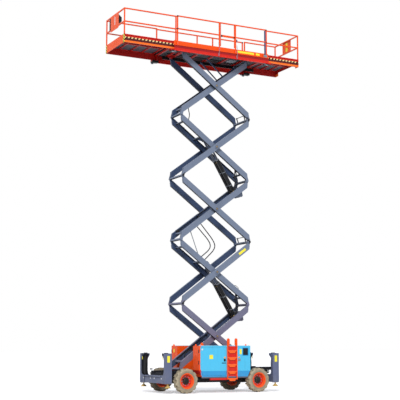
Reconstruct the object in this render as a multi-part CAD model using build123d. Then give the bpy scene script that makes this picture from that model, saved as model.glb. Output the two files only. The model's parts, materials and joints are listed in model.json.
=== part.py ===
"""Rough-terrain scissor lift, partly raised: one STEP file per sub-part, in millimetres.

+X is the front of the machine, +Y its left side, +Z up, and the ground is at z = 0.
Lengths along X are counted from mid wheelbase, which lies MACHINE_X from the origin.
"""
from build123d import *
import math
import os

# ---------------------------------------------------------------- driving dimensions
MACHINE_X = -160.0            # mid wheelbase, behind the middle of the overall box
RUN_GAP = 5.0                 # between pieces that pass each other
PIN_PLAY = 0.6                # on radius, between a pin and its bore
PIN_SIDES = 12                # pins are twelve-sided and their bores eight-sided
SEAT_GAP = 0.3                # between a round piece and its seat

# Scissor stack
STACKS = 5
ARM_SPAN = 3530.0             # from end pin to end pin
ARM_DEPTH = 200.0
ARM_WIDTH = 95.0
ARM_WALL = 8.0
LIFT_ANGLE = 40.1             # slope of a pin line as it stands
STOWED_PITCH = 215.0          # level to level with the tubes lying flat
INNER_ARM_Y = 335.0           # inner face of an inner arm
ARM_PLANE_GAP = 30.0          # between inner and outer arms
BASE_PIN_Z = 810.0
FRONT_PIN_X = 1300.0
PIN_R = 30.0
BOSS_R = 50.0
END_GAP = 78.0                # from an end pin to the arm tube
END_CUT = 90.0                # slanted cut at a tube's corner, away from its end pin
LUG_T = 40.0
CROSS_TUBE_R = 45.0
BRACE_TUBE_R = 40.0
BRACE_INSET = 280.0           # brace tubes of the inner frames, from the end pins
CENTRE_PIN_R = 35.0
HEAD_R = 48.0
HEAD_T = 15.0
ROLLER_R = 45.0
ROLLER_T = 24.0
CHANNEL_T = 8.0
CHANNEL_Y = 580.0
CHANNEL_FLANGE = 40.0

# Lift cylinders, from the rear pin where two inner frames meet
CYL_FOOT_ALONG = 600.0
CYL_FOOT_OUT = 220.0
CYL_HEAD_ALONG = 2120.0
CYL_HEAD_OUT = 140.0
CYL_Y = 125.0
CYL_R = 64.0
CYL_ROD_R = 38.0
CYL_BARREL_L = 1540.0
CYL_BORE_FROM = 120.0         # blind end of the bore, from the foot pin
CYL_ROD_FROM = 880.0          # inner end of the rod as it stands; it runs in by 740 and out by 375
CYL_PIN_R = 28.0
CYL_EAR_T = 16.0
CYL_WEB_DROP = 130.0          # the foot ears' lowest corner under the foot pin

# Steady struts between the top inner frame and the platform
STRUT_ALONG = 1136.0
STRUT_L = 950.0
STRUT_ANGLE = 42.0
STRUT_Y = 250.0
STRUT_R = 26.0

# Running gear
WHEELBASE = 2840.0
TYRE_OUTER_Y = 1146.0
TYRE_R = 420.0
TYRE_W = 300.0
RIM_R = 254.0
WHEEL_SIDES = 32
LUGS = 14                     # in each of a tyre's two rows
LUG_W = 92.0
LUG_H = 26.0
KINGPIN_Y = 860.0
KINGPIN_R = 24.0
AXLE_TUBE_R = 65.0
DIFF_R = 115.0
SPINDLE_R = 35.0
HUB_R = 105.0
DISC_Y = 1000.0
STEER_ARM = 190.0             # from the kingpin back to the tie rod's pin
TIE_ROD_DROP = 32.0

# Chassis
RAIL_IN_Y = 470.0
RAIL_OUT_Y = 620.0
RAIL_LOW_Z = 350.0
RAIL_ARCH_Z = 545.0
CROSS_Z = 540.0
CROSS_H = 140.0
MID_CROSS_XS = (400.0, -500.0)
REAR_CROSS_GAP = 170.0        # from the rear axle to the cross member before it

# Outriggers
OUTRIGGER_FRONT_REACH = 665.0    # beyond the front axle
OUTRIGGER_REAR_REACH = 745.0     # beyond the rear axle
OUTRIGGER_W = 250.0
OUTRIGGER_OUT_Y = 1050.0
OUTRIGGER_IN_Y = 930.0
OUTRIGGER_TOP_Z = 1355.0
OUTRIGGER_LOW_Z = 335.0
BEAM_TOP_Z = 600.0
PLATE_T = 15.0
TIE_HOLE_Y = 880.0
TIE_HOLE_Z = 400.0
TIE_HOLE_R = 22.0
FOOT_Z = 190.0
FOOT_R = 105.0
LEG_TRAVEL = 350.0
LEG_CYL_R = 72.0
LEG_CYL_IN = 82.0             # cylinder's middle from the column's inner face

# Side boxes
BOX_FRONT_GAP = 478.0         # from the front axle back to the boxes
BOX_REAR_GAP = 337.0          # from the rear axle forward to the boxes
BOX_IN_Y = 628.0
BOX_OUT_Y = 1100.0
BOX_LOW_Z = 550.0
BOX_TOP_Z = 1610.0
BOX_WALL = 20.0
BOX_CORNER_X = 110.0
BOX_CORNER_Z = 230.0
DOOR_REAR_X = -120.0
ENGINE_L = 700.0
ENGINE_H = 680.0
ENGINE_REAR_GAP = 133.0       # from the box's rear end
ENGINE_SIDE_GAP = 60.0        # from the box's faces
STEP_FRONT_X = 510.0
STEP_REAR_X = -140.0
STEP_H = 70.0
STEP_DROP = 110.0             # under the box

HINGE_R = 9.0
HINGE_L = 60.0
DOOR_HINGE_IN = 27.0          # hinge axis behind the box's front face
DOOR_HINGE_OUT = 9.5          # hinge axis outside the door

# Ladder
LADDER_FRONT_X = -140.0
LADDER_REAR_X = -540.0
LADDER_LOW_Z = 450.0
LADDER_TOP_Z = 1670.0
LADDER_DEPTH = 44.0
STEP_PITCH = 240.0
GRAB_TOP_Z = 1870.0
GRAB_W = 92.0

# Platform
DECK_FRONT_X = 1850.0
DECK_REAR_X = -2070.0
DECK_HALF_W = 915.0
DECK_BEAM_H = 220.0
DECK_BEAM_DROP = 138.0        # from the top pins down to the side beam's lower edge
FLOOR_SIDE_GAP = 130.0        # from the side beam's outer face to the floor plate
RAIL_H = 1090.0               # top rail over the side beam
RAIL_TUBE = 40.0
TOE_H = 160.0
EXT_SIDE_GAP = 75.0           # from the side beam's outer face to a roll-out deck
EXT_BEAM_H = 300.0
EXT_FRONT_X = 3760.0
EXT_REAR_X = -3440.0
EXT_LAP = 400.0
EXT_FRONT_TRAVEL = 1750.0
EXT_REAR_TRAVEL = 1300.0
END_PANEL_T = 6.0             # plates under the end rails of the roll-out decks
FRONT_PANEL_H = 585.0
REAR_PANEL_H = RAIL_H * 0.43 + RAIL_TUBE / 2      # laps over half of the mid rail
CONDUIT_W = 50.0
GATE_FRONT_X = -10.0
GATE_REAR_X = -640.0
GATE_HINGE_OUT = 4.0          # hinge axis behind the front gate post
GATE_HINGE_IN = 9.5           # hinge axis inside the guardrail

# ---------------------------------------------------------------- worked-out places
SKEW = math.degrees(math.asin(STOWED_PITCH / ARM_SPAN))      # arm tube against its pin line
HALF_ALONG = ARM_SPAN / 2 * math.cos(math.radians(SKEW))
PIN_OFFSET = STOWED_PITCH / 2
STEP_UP = ARM_SPAN * math.sin(math.radians(LIFT_ANGLE))
STEP_BACK = ARM_SPAN * math.cos(math.radians(LIFT_ANGLE))
REAR_PIN_X = FRONT_PIN_X - STEP_BACK
OUTER_ARM_Y = INNER_ARM_Y + ARM_WIDTH + ARM_PLANE_GAP
TOP_PIN_Z = BASE_PIN_Z + STACKS * STEP_UP
STOWED_REAR_X = FRONT_PIN_X - ARM_SPAN
AXLE_X = WHEELBASE / 2
OUTRIGGER_FRONT_X = AXLE_X + OUTRIGGER_FRONT_REACH
OUTRIGGER_REAR_X = -(AXLE_X + OUTRIGGER_REAR_REACH)
BOX_FRONT_X = AXLE_X - BOX_FRONT_GAP
BOX_REAR_X = -(AXLE_X - BOX_REAR_GAP)
FLOOR_HALF_W = DECK_HALF_W - FLOOR_SIDE_GAP
EXT_HALF_W = DECK_HALF_W - EXT_SIDE_GAP
CHASSIS_FRONT_X = OUTRIGGER_FRONT_X - OUTRIGGER_W / 2 + PLATE_T
CHASSIS_REAR_X = OUTRIGGER_REAR_X + OUTRIGGER_W / 2 - PLATE_T
TYRE_IN_Y = TYRE_OUTER_Y - TYRE_W
RAIL_TOP_Z = BASE_PIN_Z - ROLLER_R - RUN_GAP - CHANNEL_T
BEAM_LOW_Z = TOP_PIN_Z - DECK_BEAM_DROP
DECK_TOP_Z = BEAM_LOW_Z + DECK_BEAM_H
CROSS_LOW_Z = TOP_PIN_Z + ROLLER_R + RUN_GAP + CHANNEL_T
FLOOR_LOW_Z = CROSS_LOW_Z + 48.0
FLOOR_T = 10.0
EXT_LOW_Z = BEAM_LOW_Z + 62.0
EXT_TOP_Z = EXT_LOW_Z + EXT_BEAM_H
EXT_FLOOR_LOW_Z = FLOOR_LOW_Z + FLOOR_T + 50.0
HANDRAIL_Z = DECK_TOP_Z + RAIL_H
MIDRAIL_Z = DECK_TOP_Z + RAIL_H * 0.57


# ---------------------------------------------------------------- shape helpers
def block(x0, x1, y0, y1, z0, z1):
    """Box between two corners."""
    return Pos((x0 + x1) / 2, (y0 + y1) / 2, (z0 + z1) / 2) * Box(x1 - x0, y1 - y0, z1 - z0)


def bar_x(x0, x1, y, z, radius):
    """Round bar along X."""
    return Pos((x0 + x1) / 2, y, z) * Rot(0, 90, 0) * Cylinder(radius, x1 - x0)


def bar_y(x, y0, y1, z, radius):
    """Round bar along Y."""
    return Pos(x, (y0 + y1) / 2, z) * Rot(90, 0, 0) * Cylinder(radius, y1 - y0)


def bar_z(x, y, z0, z1, radius):
    """Round bar along Z."""
    return Pos(x, y, (z0 + z1) / 2) * Cylinder(radius, z1 - z0)


def prism(radius, length, sides=8, around=False):
    """Many-sided bar along Z that stays inside its radius, or with around outside it, for what repeats."""
    return extrude(RegularPolygon(radius, sides, major_radius=not around), amount=length)


def prism_x(x0, x1, y, z, radius, sides=8, around=False):
    """Many-sided bar along X."""
    return Pos(x0, y, z) * Rot(0, 90, 0) * prism(radius, x1 - x0, sides, around)


def prism_y(x, y0, y1, z, radius, sides=8, around=False):
    """Many-sided bar along Y."""
    return Pos(x, y0, z) * Rot(-90, 0, 0) * prism(radius, y1 - y0, sides, around)


def prism_z(x, y, z0, z1, radius, sides=8, around=False):
    """Many-sided bar along Z."""
    return Pos(x, y, z0) * prism(radius, z1 - z0, sides, around)


def slab_y(points, y0, y1):
    """Outline in XZ, thick along Y."""
    face = make_face(Polyline(*[(x, y1, z) for x, z in points], close=True))
    return extrude(face, amount=y1 - y0, dir=(0, -1, 0))


def slab_x(points, x0, x1):
    """Outline in YZ, thick along X."""
    face = make_face(Polyline(*[(x0, y, z) for y, z in points], close=True))
    return extrude(face, amount=x1 - x0, dir=(1, 0, 0))


def both_sides(shape):
    """A left-hand shape and its right-hand twin."""
    return shape + shape.mirror(Plane.XZ)


def loose_pair(shape):
    """A left-hand shape and its right-hand twin, kept as separate solids."""
    return Compound([*shape.solids(), *shape.mirror(Plane.XZ).solids()])


def faceted(sections, sides, ring=False):
    """Flat-faced turned form about Z through its (radius, z) sections; with ring they close on themselves."""
    turns = [2 * math.pi * k / sides for k in range(sides)]
    hoops = [[(r * math.cos(a), r * math.sin(a), z) for a in turns] for r, z in sections]
    ends = [] if ring else [hoops[0], hoops[-1]]
    faces = [Face(Wire.make_polygon(hoop)) for hoop in ends]
    for low, high in zip(hoops, hoops[1:] + (hoops[:1] if ring else [])):
        for k in range(sides):
            n = (k + 1) % sides
            faces.append(Face(Wire.make_polygon([low[k], low[n], high[n], high[k]])))
    return Solid(Shell(faces))


def faceted_y(sections, sides=WHEEL_SIDES, ring=False):
    """The same about the Y axis, through its (radius, y) sections."""
    return Rot(-90, 0, 0) * faceted(sections, sides, ring)


def hinge_halves(x, y, z, reach, fixed_y, swung_y):
    """Two halves of a hinge knuckle about a vertical axis: fixed towards +X, swung towards -X."""
    mid = z + HINGE_L / 2
    fixed = bar_z(x, y, z, mid - SEAT_GAP, HINGE_R)
    fixed += block(x, x + reach, min(y, fixed_y), max(y, fixed_y), z, mid - SEAT_GAP)
    swung = prism_z(x, y, mid, z + HINGE_L, HINGE_R)
    swung += block(x - reach - 2, x, min(y, swung_y), max(y, swung_y), mid, z + HINGE_L)
    return fixed, swung


def save(name, shape):
    """Move a sub-part into the part's frame and write it."""
    solids = [solid.moved(Location((MACHINE_X, 0, 0))) for solid in shape.solids()]
    model = solids[0] if len(solids) == 1 else Compound(solids)
    model.label = name
    export_step(model, os.path.join("parts", name + ".step"))


# ---------------------------------------------------------------- scissor arms
def end_plate(side, y0, y1):
    """Plate from the arm tube out to a boss on the end pin; side is -1 low end, +1 high end."""
    near, far = (BOSS_R * math.sin(math.radians(22.5)), BOSS_R * math.cos(math.radians(22.5)))
    tube_s = HALF_ALONG - END_GAP
    root_s = tube_s - END_CUT
    half = ARM_DEPTH / 2
    corners = ((-near, far), (near, far), (far, near), (far, -near), (near, -far))
    outline = [(HALF_ALONG + ds, PIN_OFFSET + dt) for ds, dt in corners]
    outline += [(tube_s, END_CUT - half), (root_s, -half), (root_s, half), (tube_s, half)]
    return slab_y([(side * s, side * t) for s, t in outline], y0, y1)


def arm_tube(y0):
    """Hollow arm tube, open at both ends, its corners away from the end pins cut off."""
    reach = HALF_ALONG - END_GAP
    y1 = y0 + ARM_WIDTH
    half = ARM_DEPTH / 2
    edge = [(reach, half), (reach, END_CUT - half), (reach - END_CUT, -half)]
    skin = slab_y(edge + [(-x, -z) for x, z in edge], y0, y1)
    core = block(-reach - 1, reach + 1, y0 + ARM_WALL, y1 - ARM_WALL, -half + ARM_WALL, half - ARM_WALL)
    return skin - core


def low_end(y0):
    """Two cheeks with their pin."""
    y1 = y0 + ARM_WIDTH
    cheek = (ARM_WIDTH - LUG_T) / 2 - RUN_GAP
    cheeks = end_plate(-1, y0, y0 + cheek) + end_plate(-1, y1 - cheek, y1)
    pin = prism_y(-HALF_ALONG, y0 + cheek / 2, y1 - cheek / 2, -PIN_OFFSET, PIN_R, PIN_SIDES)
    return cheeks + pin


def high_end(y0, bored):
    """Centre lug that sits between the next arm's cheeks."""
    y1 = y0 + ARM_WIDTH
    lug = end_plate(1, y0 + (ARM_WIDTH - LUG_T) / 2, y1 - (ARM_WIDTH - LUG_T) / 2)
    if bored:
        lug -= prism_y(HALF_ALONG, y0, y1, PIN_OFFSET, PIN_R + PIN_PLAY, around=True)
    return lug


def roller_axle(s, t):
    """Axle with a roller at each side of the stack, running in the channels."""
    y_in = CHANNEL_Y + 4.0
    axle = prism_y(s, -y_in, y_in, t, PIN_R)
    return axle + both_sides(prism_y(s, y_in, y_in + ROLLER_T, t, ROLLER_R, sides=16))


def outer_frame(index):
    """Outer arm pair of a stack, along its own tubes."""
    y0, y1 = OUTER_ARM_Y, OUTER_ARM_Y + ARM_WIDTH
    arm = arm_tube(y0) + low_end(y0) + high_end(y0, bored=True)
    arm -= prism_y(0, y0 - 1, y1 + 1, 0, CENTRE_PIN_R + PIN_PLAY, around=True)
    frame = both_sides(arm) + bar_y(-HALF_ALONG, -y0, y0, -PIN_OFFSET, CROSS_TUBE_R)
    if index == 1:
        frame += roller_axle(-HALF_ALONG, -PIN_OFFSET)
    return frame


def inner_frame(index):
    """Inner arm pair of a stack with its cross tubes, centre pins and cylinder brackets."""
    y0, y1 = INNER_ARM_Y, INNER_ARM_Y + ARM_WIDTH
    head_y = OUTER_ARM_Y + ARM_WIDTH + RUN_GAP
    arm = arm_tube(y0) + low_end(y0) + high_end(y0, bored=index < STACKS)
    arm += prism_y(0, y1 - ARM_WALL, head_y, 0, CENTRE_PIN_R, PIN_SIDES)
    arm += bar_y(0, head_y, head_y + HEAD_T, 0, HEAD_R)
    frame = both_sides(arm) + bar_y(-HALF_ALONG, -y0, y0, -PIN_OFFSET, CROSS_TUBE_R)
    for side in (-1, 1):
        frame += prism_y(side * (HALF_ALONG - BRACE_INSET), -y0, y0, 0, BRACE_TUBE_R)
    if index == STACKS:
        frame += roller_axle(HALF_ALONG, PIN_OFFSET)
        frame += prism_y(HALF_ALONG, -y0, y0, PIN_OFFSET, CROSS_TUBE_R)
        frame += strut_foot()
    if index in (1, 3):
        frame += cylinder_foot()
    if index in (2, 4):
        frame += cylinder_head()
    return frame


def from_pins(along, out, end):
    """Place on an arm: along its pin line from one end pin, out at right angles from the line."""
    turn = math.radians(SKEW)
    s = end * (HALF_ALONG - along * math.cos(turn))
    t = end * (PIN_OFFSET - along * math.sin(turn))
    return s - out * math.sin(turn), t + out * math.cos(turn)


def cylinder_foot():
    """Two pairs of ears with their pins, hung from the brace tube at the high end of a frame."""
    s, t = from_pins(CYL_FOOT_ALONG, -CYL_FOOT_OUT, 1)
    root = HALF_ALONG - BRACE_INSET
    y0 = CYL_Y - CYL_R - RUN_GAP - CYL_EAR_T
    y1 = CYL_Y + CYL_R + RUN_GAP
    low = t - CYL_WEB_DROP
    outline = [(s - 45, t), (s + 20, t - 45), (s + 130, low), (s + 200, low), (root + 40, 0), (root, BRACE_TUBE_R),
               (root - 50, 0)]
    plate = slab_y(outline, y0, y0 + CYL_EAR_T) + prism_y(s, y0, y0 + CYL_EAR_T, t, 45.0)
    pair = plate + Pos(0, y1 - y0, 0) * plate
    pair += bar_y(s, y0 + CYL_EAR_T / 2, y1 + CYL_EAR_T / 2, t, CYL_PIN_R)
    return both_sides(pair)


def cylinder_head():
    """Cross tube with open ears over the low end of a frame, for the rod eyes."""
    s, t = from_pins(CYL_HEAD_ALONG, CYL_HEAD_OUT, -1)
    frame = prism_y(s + 260.0, -INNER_ARM_Y, INNER_ARM_Y, 20.0, BRACE_TUBE_R)
    half = CYL_ROD_R + 14.0 + RUN_GAP
    for y in (CYL_Y - half - CYL_EAR_T, CYL_Y + half):
        outline = [(s - 50, t), (s - 30, t + 45), (s + 60, t + 50), (s + 300, 20), (s + 260, -20), (s + 215, 20)]
        plate = slab_y(outline, y, y + CYL_EAR_T) + prism_y(s, y, y + CYL_EAR_T, t, 50.0)
        frame += both_sides(plate)
    return frame


def strut_foot():
    """Cross tube with ears for the steady struts, near the high end of the top frame."""
    s, t = from_pins(STRUT_ALONG, 0, 1)
    return bar_y(s, -INNER_ARM_Y, INNER_ARM_Y, t, PIN_R)


def rising_to_front(index, inner):
    """Odd outer frames and even inner frames rise to the front, the others to the rear."""
    return (index % 2 == 0) if inner else (index % 2 == 1)


def place_frame(frame, index, inner):
    """Turn a frame to the lift angle and set it at its stack's crossing."""
    x = (FRONT_PIN_X + REAR_PIN_X) / 2
    z = BASE_PIN_Z + (index - 0.5) * STEP_UP
    slope = LIFT_ANGLE - SKEW
    if rising_to_front(index, inner):
        return Pos(x, 0, z) * Rot(0, -slope, 0) * frame
    return Pos(x, 0, z) * Rot(0, slope, 0) * frame.mirror(Plane.YZ)


def arm_point(index, inner, s, t):
    """Where a point of a frame stands in the machine."""
    x = (FRONT_PIN_X + REAR_PIN_X) / 2
    z = BASE_PIN_Z + (index - 0.5) * STEP_UP
    slope = math.radians(LIFT_ANGLE - SKEW)
    way = 1 if rising_to_front(index, inner) else -1
    along = s * math.cos(slope) - t * math.sin(slope)
    up = s * math.sin(slope) + t * math.cos(slope)
    return x + way * along, z + up


def build_scissor():
    """Ten arm frames."""
    for index in range(1, STACKS + 1):
        save(f"outer_arms_{index}", place_frame(outer_frame(index), index, inner=False))
        save(f"inner_arms_{index}", place_frame(inner_frame(index), index, inner=True))


# ---------------------------------------------------------------- lift cylinders
def cylinder_ends(low_index):
    """Foot pin and rod eye of the cylinders between two inner frames."""
    foot = arm_point(low_index, True, *from_pins(CYL_FOOT_ALONG, -CYL_FOOT_OUT, 1))
    head = arm_point(low_index + 1, True, *from_pins(CYL_HEAD_ALONG, CYL_HEAD_OUT, -1))
    return foot, head


def along_cylinder(low_index, shape):
    """Set a shape drawn along X from the foot pin onto the cylinder's line."""
    (x0, z0), (x1, z1) = cylinder_ends(low_index)
    tilt = math.degrees(math.atan2(z1 - z0, x1 - x0))
    return Pos(x0, 0, z0) * Rot(0, -tilt, 0) * shape


def build_cylinders():
    """Twin barrels and twin rods for the two cylinder sets."""
    for name, low_index in (("lower", 1), ("upper", 3)):
        (x0, z0), (x1, z1) = cylinder_ends(low_index)
        length = math.hypot(x1 - x0, z1 - z0)
        barrel = bar_x(0, CYL_BARREL_L, CYL_Y, 0, CYL_R)
        barrel -= prism_x(CYL_BORE_FROM, CYL_BARREL_L + 1, CYL_Y, 0, CYL_ROD_R + PIN_PLAY, around=True)
        barrel -= prism_y(0, CYL_Y - CYL_R - 1, CYL_Y + CYL_R + 1, 0, CYL_PIN_R + PIN_PLAY, around=True)
        link = block(250, 300, CYL_R - CYL_Y - 12, CYL_Y - CYL_R + 12, -20, 20)
        rod = bar_x(CYL_ROD_FROM, length - 30, CYL_Y, 0, CYL_ROD_R)
        eye = prism_y(length, CYL_Y - CYL_ROD_R - 14, CYL_Y + CYL_ROD_R + 14, 0, 45.0)
        eye -= prism_y(length, CYL_Y - 100, CYL_Y + 100, 0, CYL_PIN_R)
        rod += eye
        save(f"{name}_lift_barrels", along_cylinder(low_index, both_sides(barrel) + link))
        save(f"{name}_lift_rods", along_cylinder(low_index, loose_pair(rod)))


def build_steady_struts():
    """Twin struts from the top inner frame to the platform's guides."""
    x, z = arm_point(STACKS, True, *from_pins(STRUT_ALONG, 0, 1))
    strut = prism_x(40, STRUT_L, STRUT_Y, 0, STRUT_R)
    eye = prism_y(0, STRUT_Y - 30, STRUT_Y + 30, 0, PIN_R + 18.0)
    strut = strut + eye - prism_y(0, 0, INNER_ARM_Y, 0, PIN_R + PIN_PLAY, around=True)
    strut += prism_y(STRUT_L, STRUT_Y - STRUT_R, STRUT_Y + STRUT_R + 4.0, 0, STRUT_R + 4.0)
    save("steady_struts", Pos(x, 0, z) * Rot(0, -STRUT_ANGLE, 0) * loose_pair(strut))


# ---------------------------------------------------------------- chassis
def channel(x0, x1, pin_z, way):
    """Roller channel of one side, open towards the arms (way +1 keeps its web outside)."""
    y0, y1 = CHANNEL_Y, CHANNEL_Y + CHANNEL_FLANGE
    half = ROLLER_R + RUN_GAP + CHANNEL_T
    shape = block(x0, x1, y0, y1, pin_z - half, pin_z + half)
    return shape - block(x0 - 1, x1 + 1, y0 - 1, y1 - CHANNEL_T, pin_z - half + CHANNEL_T, pin_z + half - CHANNEL_T)


def build_chassis():
    """Main frame: two rails, cross members, arm pivots and roller channels."""
    top, arch, low = RAIL_TOP_Z, RAIL_ARCH_Z, RAIL_LOW_Z
    front, rear = CHASSIS_FRONT_X, CHASSIS_REAR_X
    outline = [
        (rear, top), (front, top), (front, arch), (AXLE_X - 340, arch), (AXLE_X - 540, low),
        (-AXLE_X + 540, low), (-AXLE_X + 340, arch), (rear, arch),
    ]
    frame = both_sides(slab_y(outline, RAIL_IN_Y, RAIL_OUT_Y))
    for x in (front - 60, FRONT_PIN_X, *MID_CROSS_XS, REAR_CROSS_GAP - AXLE_X, rear + 60):
        frame += block(x - 60, x + 60, -RAIL_IN_Y, RAIL_IN_Y, CROSS_Z, CROSS_Z + CROSS_H)
    lug_y0 = INNER_ARM_Y + (ARM_WIDTH - LUG_T) / 2
    half = BOSS_R - 10.0
    post = slab_y([(FRONT_PIN_X - half, BASE_PIN_Z), (FRONT_PIN_X + half, BASE_PIN_Z),
                   (FRONT_PIN_X + 60, CROSS_Z + CROSS_H), (FRONT_PIN_X - 60, CROSS_Z + CROSS_H)],
                  lug_y0, lug_y0 + LUG_T)
    post += prism_y(FRONT_PIN_X, lug_y0, lug_y0 + LUG_T, BASE_PIN_Z, BOSS_R)
    post -= prism_y(FRONT_PIN_X, lug_y0 - 1, lug_y0 + LUG_T + 1, BASE_PIN_Z, PIN_R + PIN_PLAY, around=True)
    frame += both_sides(post)
    frame += both_sides(channel(STOWED_REAR_X - 70, REAR_PIN_X + 960, BASE_PIN_Z, 1))
    for axle_x in (AXLE_X, -AXLE_X):
        saddle = block(axle_x - 90, axle_x + 90, RAIL_IN_Y, RAIL_OUT_Y, TYRE_R, arch)
        saddle -= prism_y(axle_x, RAIL_IN_Y - 1, RAIL_OUT_Y + 1, TYRE_R, AXLE_TUBE_R + SEAT_GAP, around=True)
        frame += both_sides(saddle)
    save("chassis_frame", frame)


def axle_beam(x):
    """Axle tube with the differential housing."""
    beam = prism_y(x, -KINGPIN_Y + 70, KINGPIN_Y - 70, TYRE_R, AXLE_TUBE_R, sides=16)
    beam += prism_x(x - DIFF_R, x + DIFF_R, 0, TYRE_R, DIFF_R, sides=16)
    return beam


def build_axles():
    """Steering front axle and rigid rear axle."""
    front = axle_beam(AXLE_X)
    for z in (-115, 95):
        fork = block(AXLE_X - 40, AXLE_X + 40, KINGPIN_Y - 90, KINGPIN_Y, TYRE_R + z, TYRE_R + z + 20)
        fork += prism_z(AXLE_X, KINGPIN_Y, TYRE_R + z, TYRE_R + z + 20, 43)
        fork -= prism_z(AXLE_X, KINGPIN_Y, TYRE_R + z - 1, TYRE_R + z + 21, KINGPIN_R + PIN_PLAY, around=True)
        front += both_sides(fork)
    web = block(AXLE_X - 40, AXLE_X + 40, KINGPIN_Y - 110, KINGPIN_Y - 70, TYRE_R - 115, TYRE_R + 115)
    front += both_sides(web)
    save("front_axle", front)
    rear = axle_beam(-AXLE_X)
    hub = prism_y(-AXLE_X, KINGPIN_Y - 80, DISC_Y - RUN_GAP, TYRE_R, 80, sides=16)
    hub += prism_y(-AXLE_X, DISC_Y - RUN_GAP, DISC_Y + 45, TYRE_R, SPINDLE_R, PIN_SIDES)
    rear += both_sides(hub)
    save("rear_axle", rear)


def build_steering():
    """Two knuckles and the tie rod behind the front axle."""
    arm_x, arm_y = AXLE_X - STEER_ARM, KINGPIN_Y
    knuckle = prism_z(AXLE_X, KINGPIN_Y, TYRE_R - 90, TYRE_R + 90, 38)
    knuckle += bar_z(AXLE_X, KINGPIN_Y, TYRE_R - 120, TYRE_R + 120, KINGPIN_R)
    knuckle += prism_y(AXLE_X, KINGPIN_Y, DISC_Y - RUN_GAP, TYRE_R, 70, sides=16)
    knuckle += prism_y(AXLE_X, DISC_Y - RUN_GAP, DISC_Y + 45, TYRE_R, SPINDLE_R, PIN_SIDES)
    knuckle += block(arm_x, AXLE_X, arm_y - 15, arm_y + 15, TYRE_R - 15, TYRE_R + 10)
    knuckle += prism_z(arm_x, arm_y, TYRE_R - 15, TYRE_R + 10, 26)
    knuckle += bar_z(arm_x, arm_y, TYRE_R - 45, TYRE_R - 15, 12)
    save("knuckle_left", knuckle)
    save("knuckle_right", knuckle.mirror(Plane.XZ))
    rod_z = TYRE_R - TIE_ROD_DROP
    rod = prism_y(arm_x, -arm_y, arm_y, rod_z, 16)
    rod += both_sides(prism_z(arm_x, arm_y, rod_z - 12, rod_z + 12, 26))
    rod -= both_sides(prism_z(arm_x, arm_y, rod_z - 20, rod_z + 20, 12 + PIN_PLAY, around=True))
    save("tie_rod", rod)


def rim():
    """Wheel rim with flanges, a deep dish, its hub and the spindle's socket, about the Y axis."""
    y_in, y_out = TYRE_IN_Y + 12, TYRE_OUTER_Y - 12
    flange = RIM_R + 14.0
    wheel = faceted_y([(flange, y_in), (RIM_R, y_in + 16), (RIM_R, y_out - 16), (flange, y_out)])
    wheel -= faceted_y([(RIM_R - 16, y_in - 1), (215, DISC_Y)])
    wheel -= faceted_y([(200, DISC_Y + 20), (RIM_R - 16, y_out + 1)])
    wheel += faceted_y([(HUB_R, DISC_Y + 10), (HUB_R, DISC_Y + 62), (HUB_R - 16, DISC_Y + 76)], sides=16)
    return wheel - prism_y(0, DISC_Y - 1, DISC_Y + 50, 0, SPINDLE_R + PIN_PLAY, around=True)


def lug(y0, y1, turn):
    """One tread lug from its shoulder at y0 to its inner end at y1, turned about the Y axis from the bottom."""
    way = math.copysign(1, y1 - y0)
    root = TYRE_R - LUG_H - 8
    profile = [(y0 + way * 12, -root), (y0 + way * 20, 18 - TYRE_R), (y0 + way * 40, -TYRE_R), (y1, -TYRE_R), (y1, -root)]
    return Rot(0, turn, 0) * slab_x(profile, -LUG_W / 2, LUG_W / 2)


def tyre():
    """Tyre on the rim with two staggered rows of lugs, about the Y axis."""
    base = TYRE_R - LUG_H
    half = [(RIM_R, 30.0), (RIM_R + 36, 6.0), (base - 26, 0.0), (base, 26.0)]
    sections = [(r, TYRE_IN_Y + y) for r, y in half] + [(r, TYRE_OUTER_Y - y) for r, y in reversed(half)]
    middle = (TYRE_IN_Y + TYRE_OUTER_Y) / 2
    pitch = 360 / LUGS
    lugs = []
    for k in range(LUGS):
        lugs += [lug(TYRE_OUTER_Y, middle - 12, k * pitch), lug(TYRE_IN_Y, middle + 12, (k + 0.5) * pitch)]
    return faceted_y(sections, ring=True).fuse(*lugs)


def build_wheels():
    """Four rims and four tyres."""
    for name, shape in (("rim", rim()), ("tyre", tyre())):
        for end, x in (("front", AXLE_X), ("rear", -AXLE_X)):
            placed = Pos(x, 0, TYRE_R) * shape
            save(f"{name}_{end}_left", placed)
            save(f"{name}_{end}_right", placed.mirror(Plane.XZ))


# ---------------------------------------------------------------- outriggers
def outrigger_column(x):
    """Leg housing between two C-shaped plates that reach in beside the cross beam."""
    half = OUTRIGGER_W / 2
    in_y, out_y = OUTRIGGER_IN_Y, OUTRIGGER_OUT_Y
    low, top = OUTRIGGER_LOW_Z, OUTRIGGER_TOP_Z
    outline = [
        (in_y - 240, low + 25), (in_y - 215, low), (out_y, low), (out_y, top), (in_y - 150, top), (in_y - 160, top - 60),
        (in_y - 120, top - 95), (in_y - 40, top - 150), (in_y, top - 230), (in_y, BEAM_TOP_Z + 150),
        (in_y - 40, BEAM_TOP_Z + 40), (in_y - 130, BEAM_TOP_Z), (in_y - 240, BEAM_TOP_Z),
    ]
    side = slab_x(outline, x - half, x - half + PLATE_T) + slab_x(outline, x + half - PLATE_T, x + half)
    end_face = x + math.copysign(half, x)
    side -= bar_x(end_face - PLATE_T - 1, end_face + PLATE_T + 1, TIE_HOLE_Y, TIE_HOLE_Z, TIE_HOLE_R)
    wall = 12.0
    inner = half - PLATE_T
    side += block(x - inner, x + inner, out_y - wall, out_y, low, top)
    web = block(x - inner, x + inner, in_y, in_y + wall, low, top)
    web -= block(x - 40, x + 40, in_y - 1, in_y + wall + 1, low - 1, BEAM_TOP_Z + 30)
    side += web
    return side + prism_x(x - half - 8, x + half + 8, in_y - LEG_CYL_IN, top - 45, 34)


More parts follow.
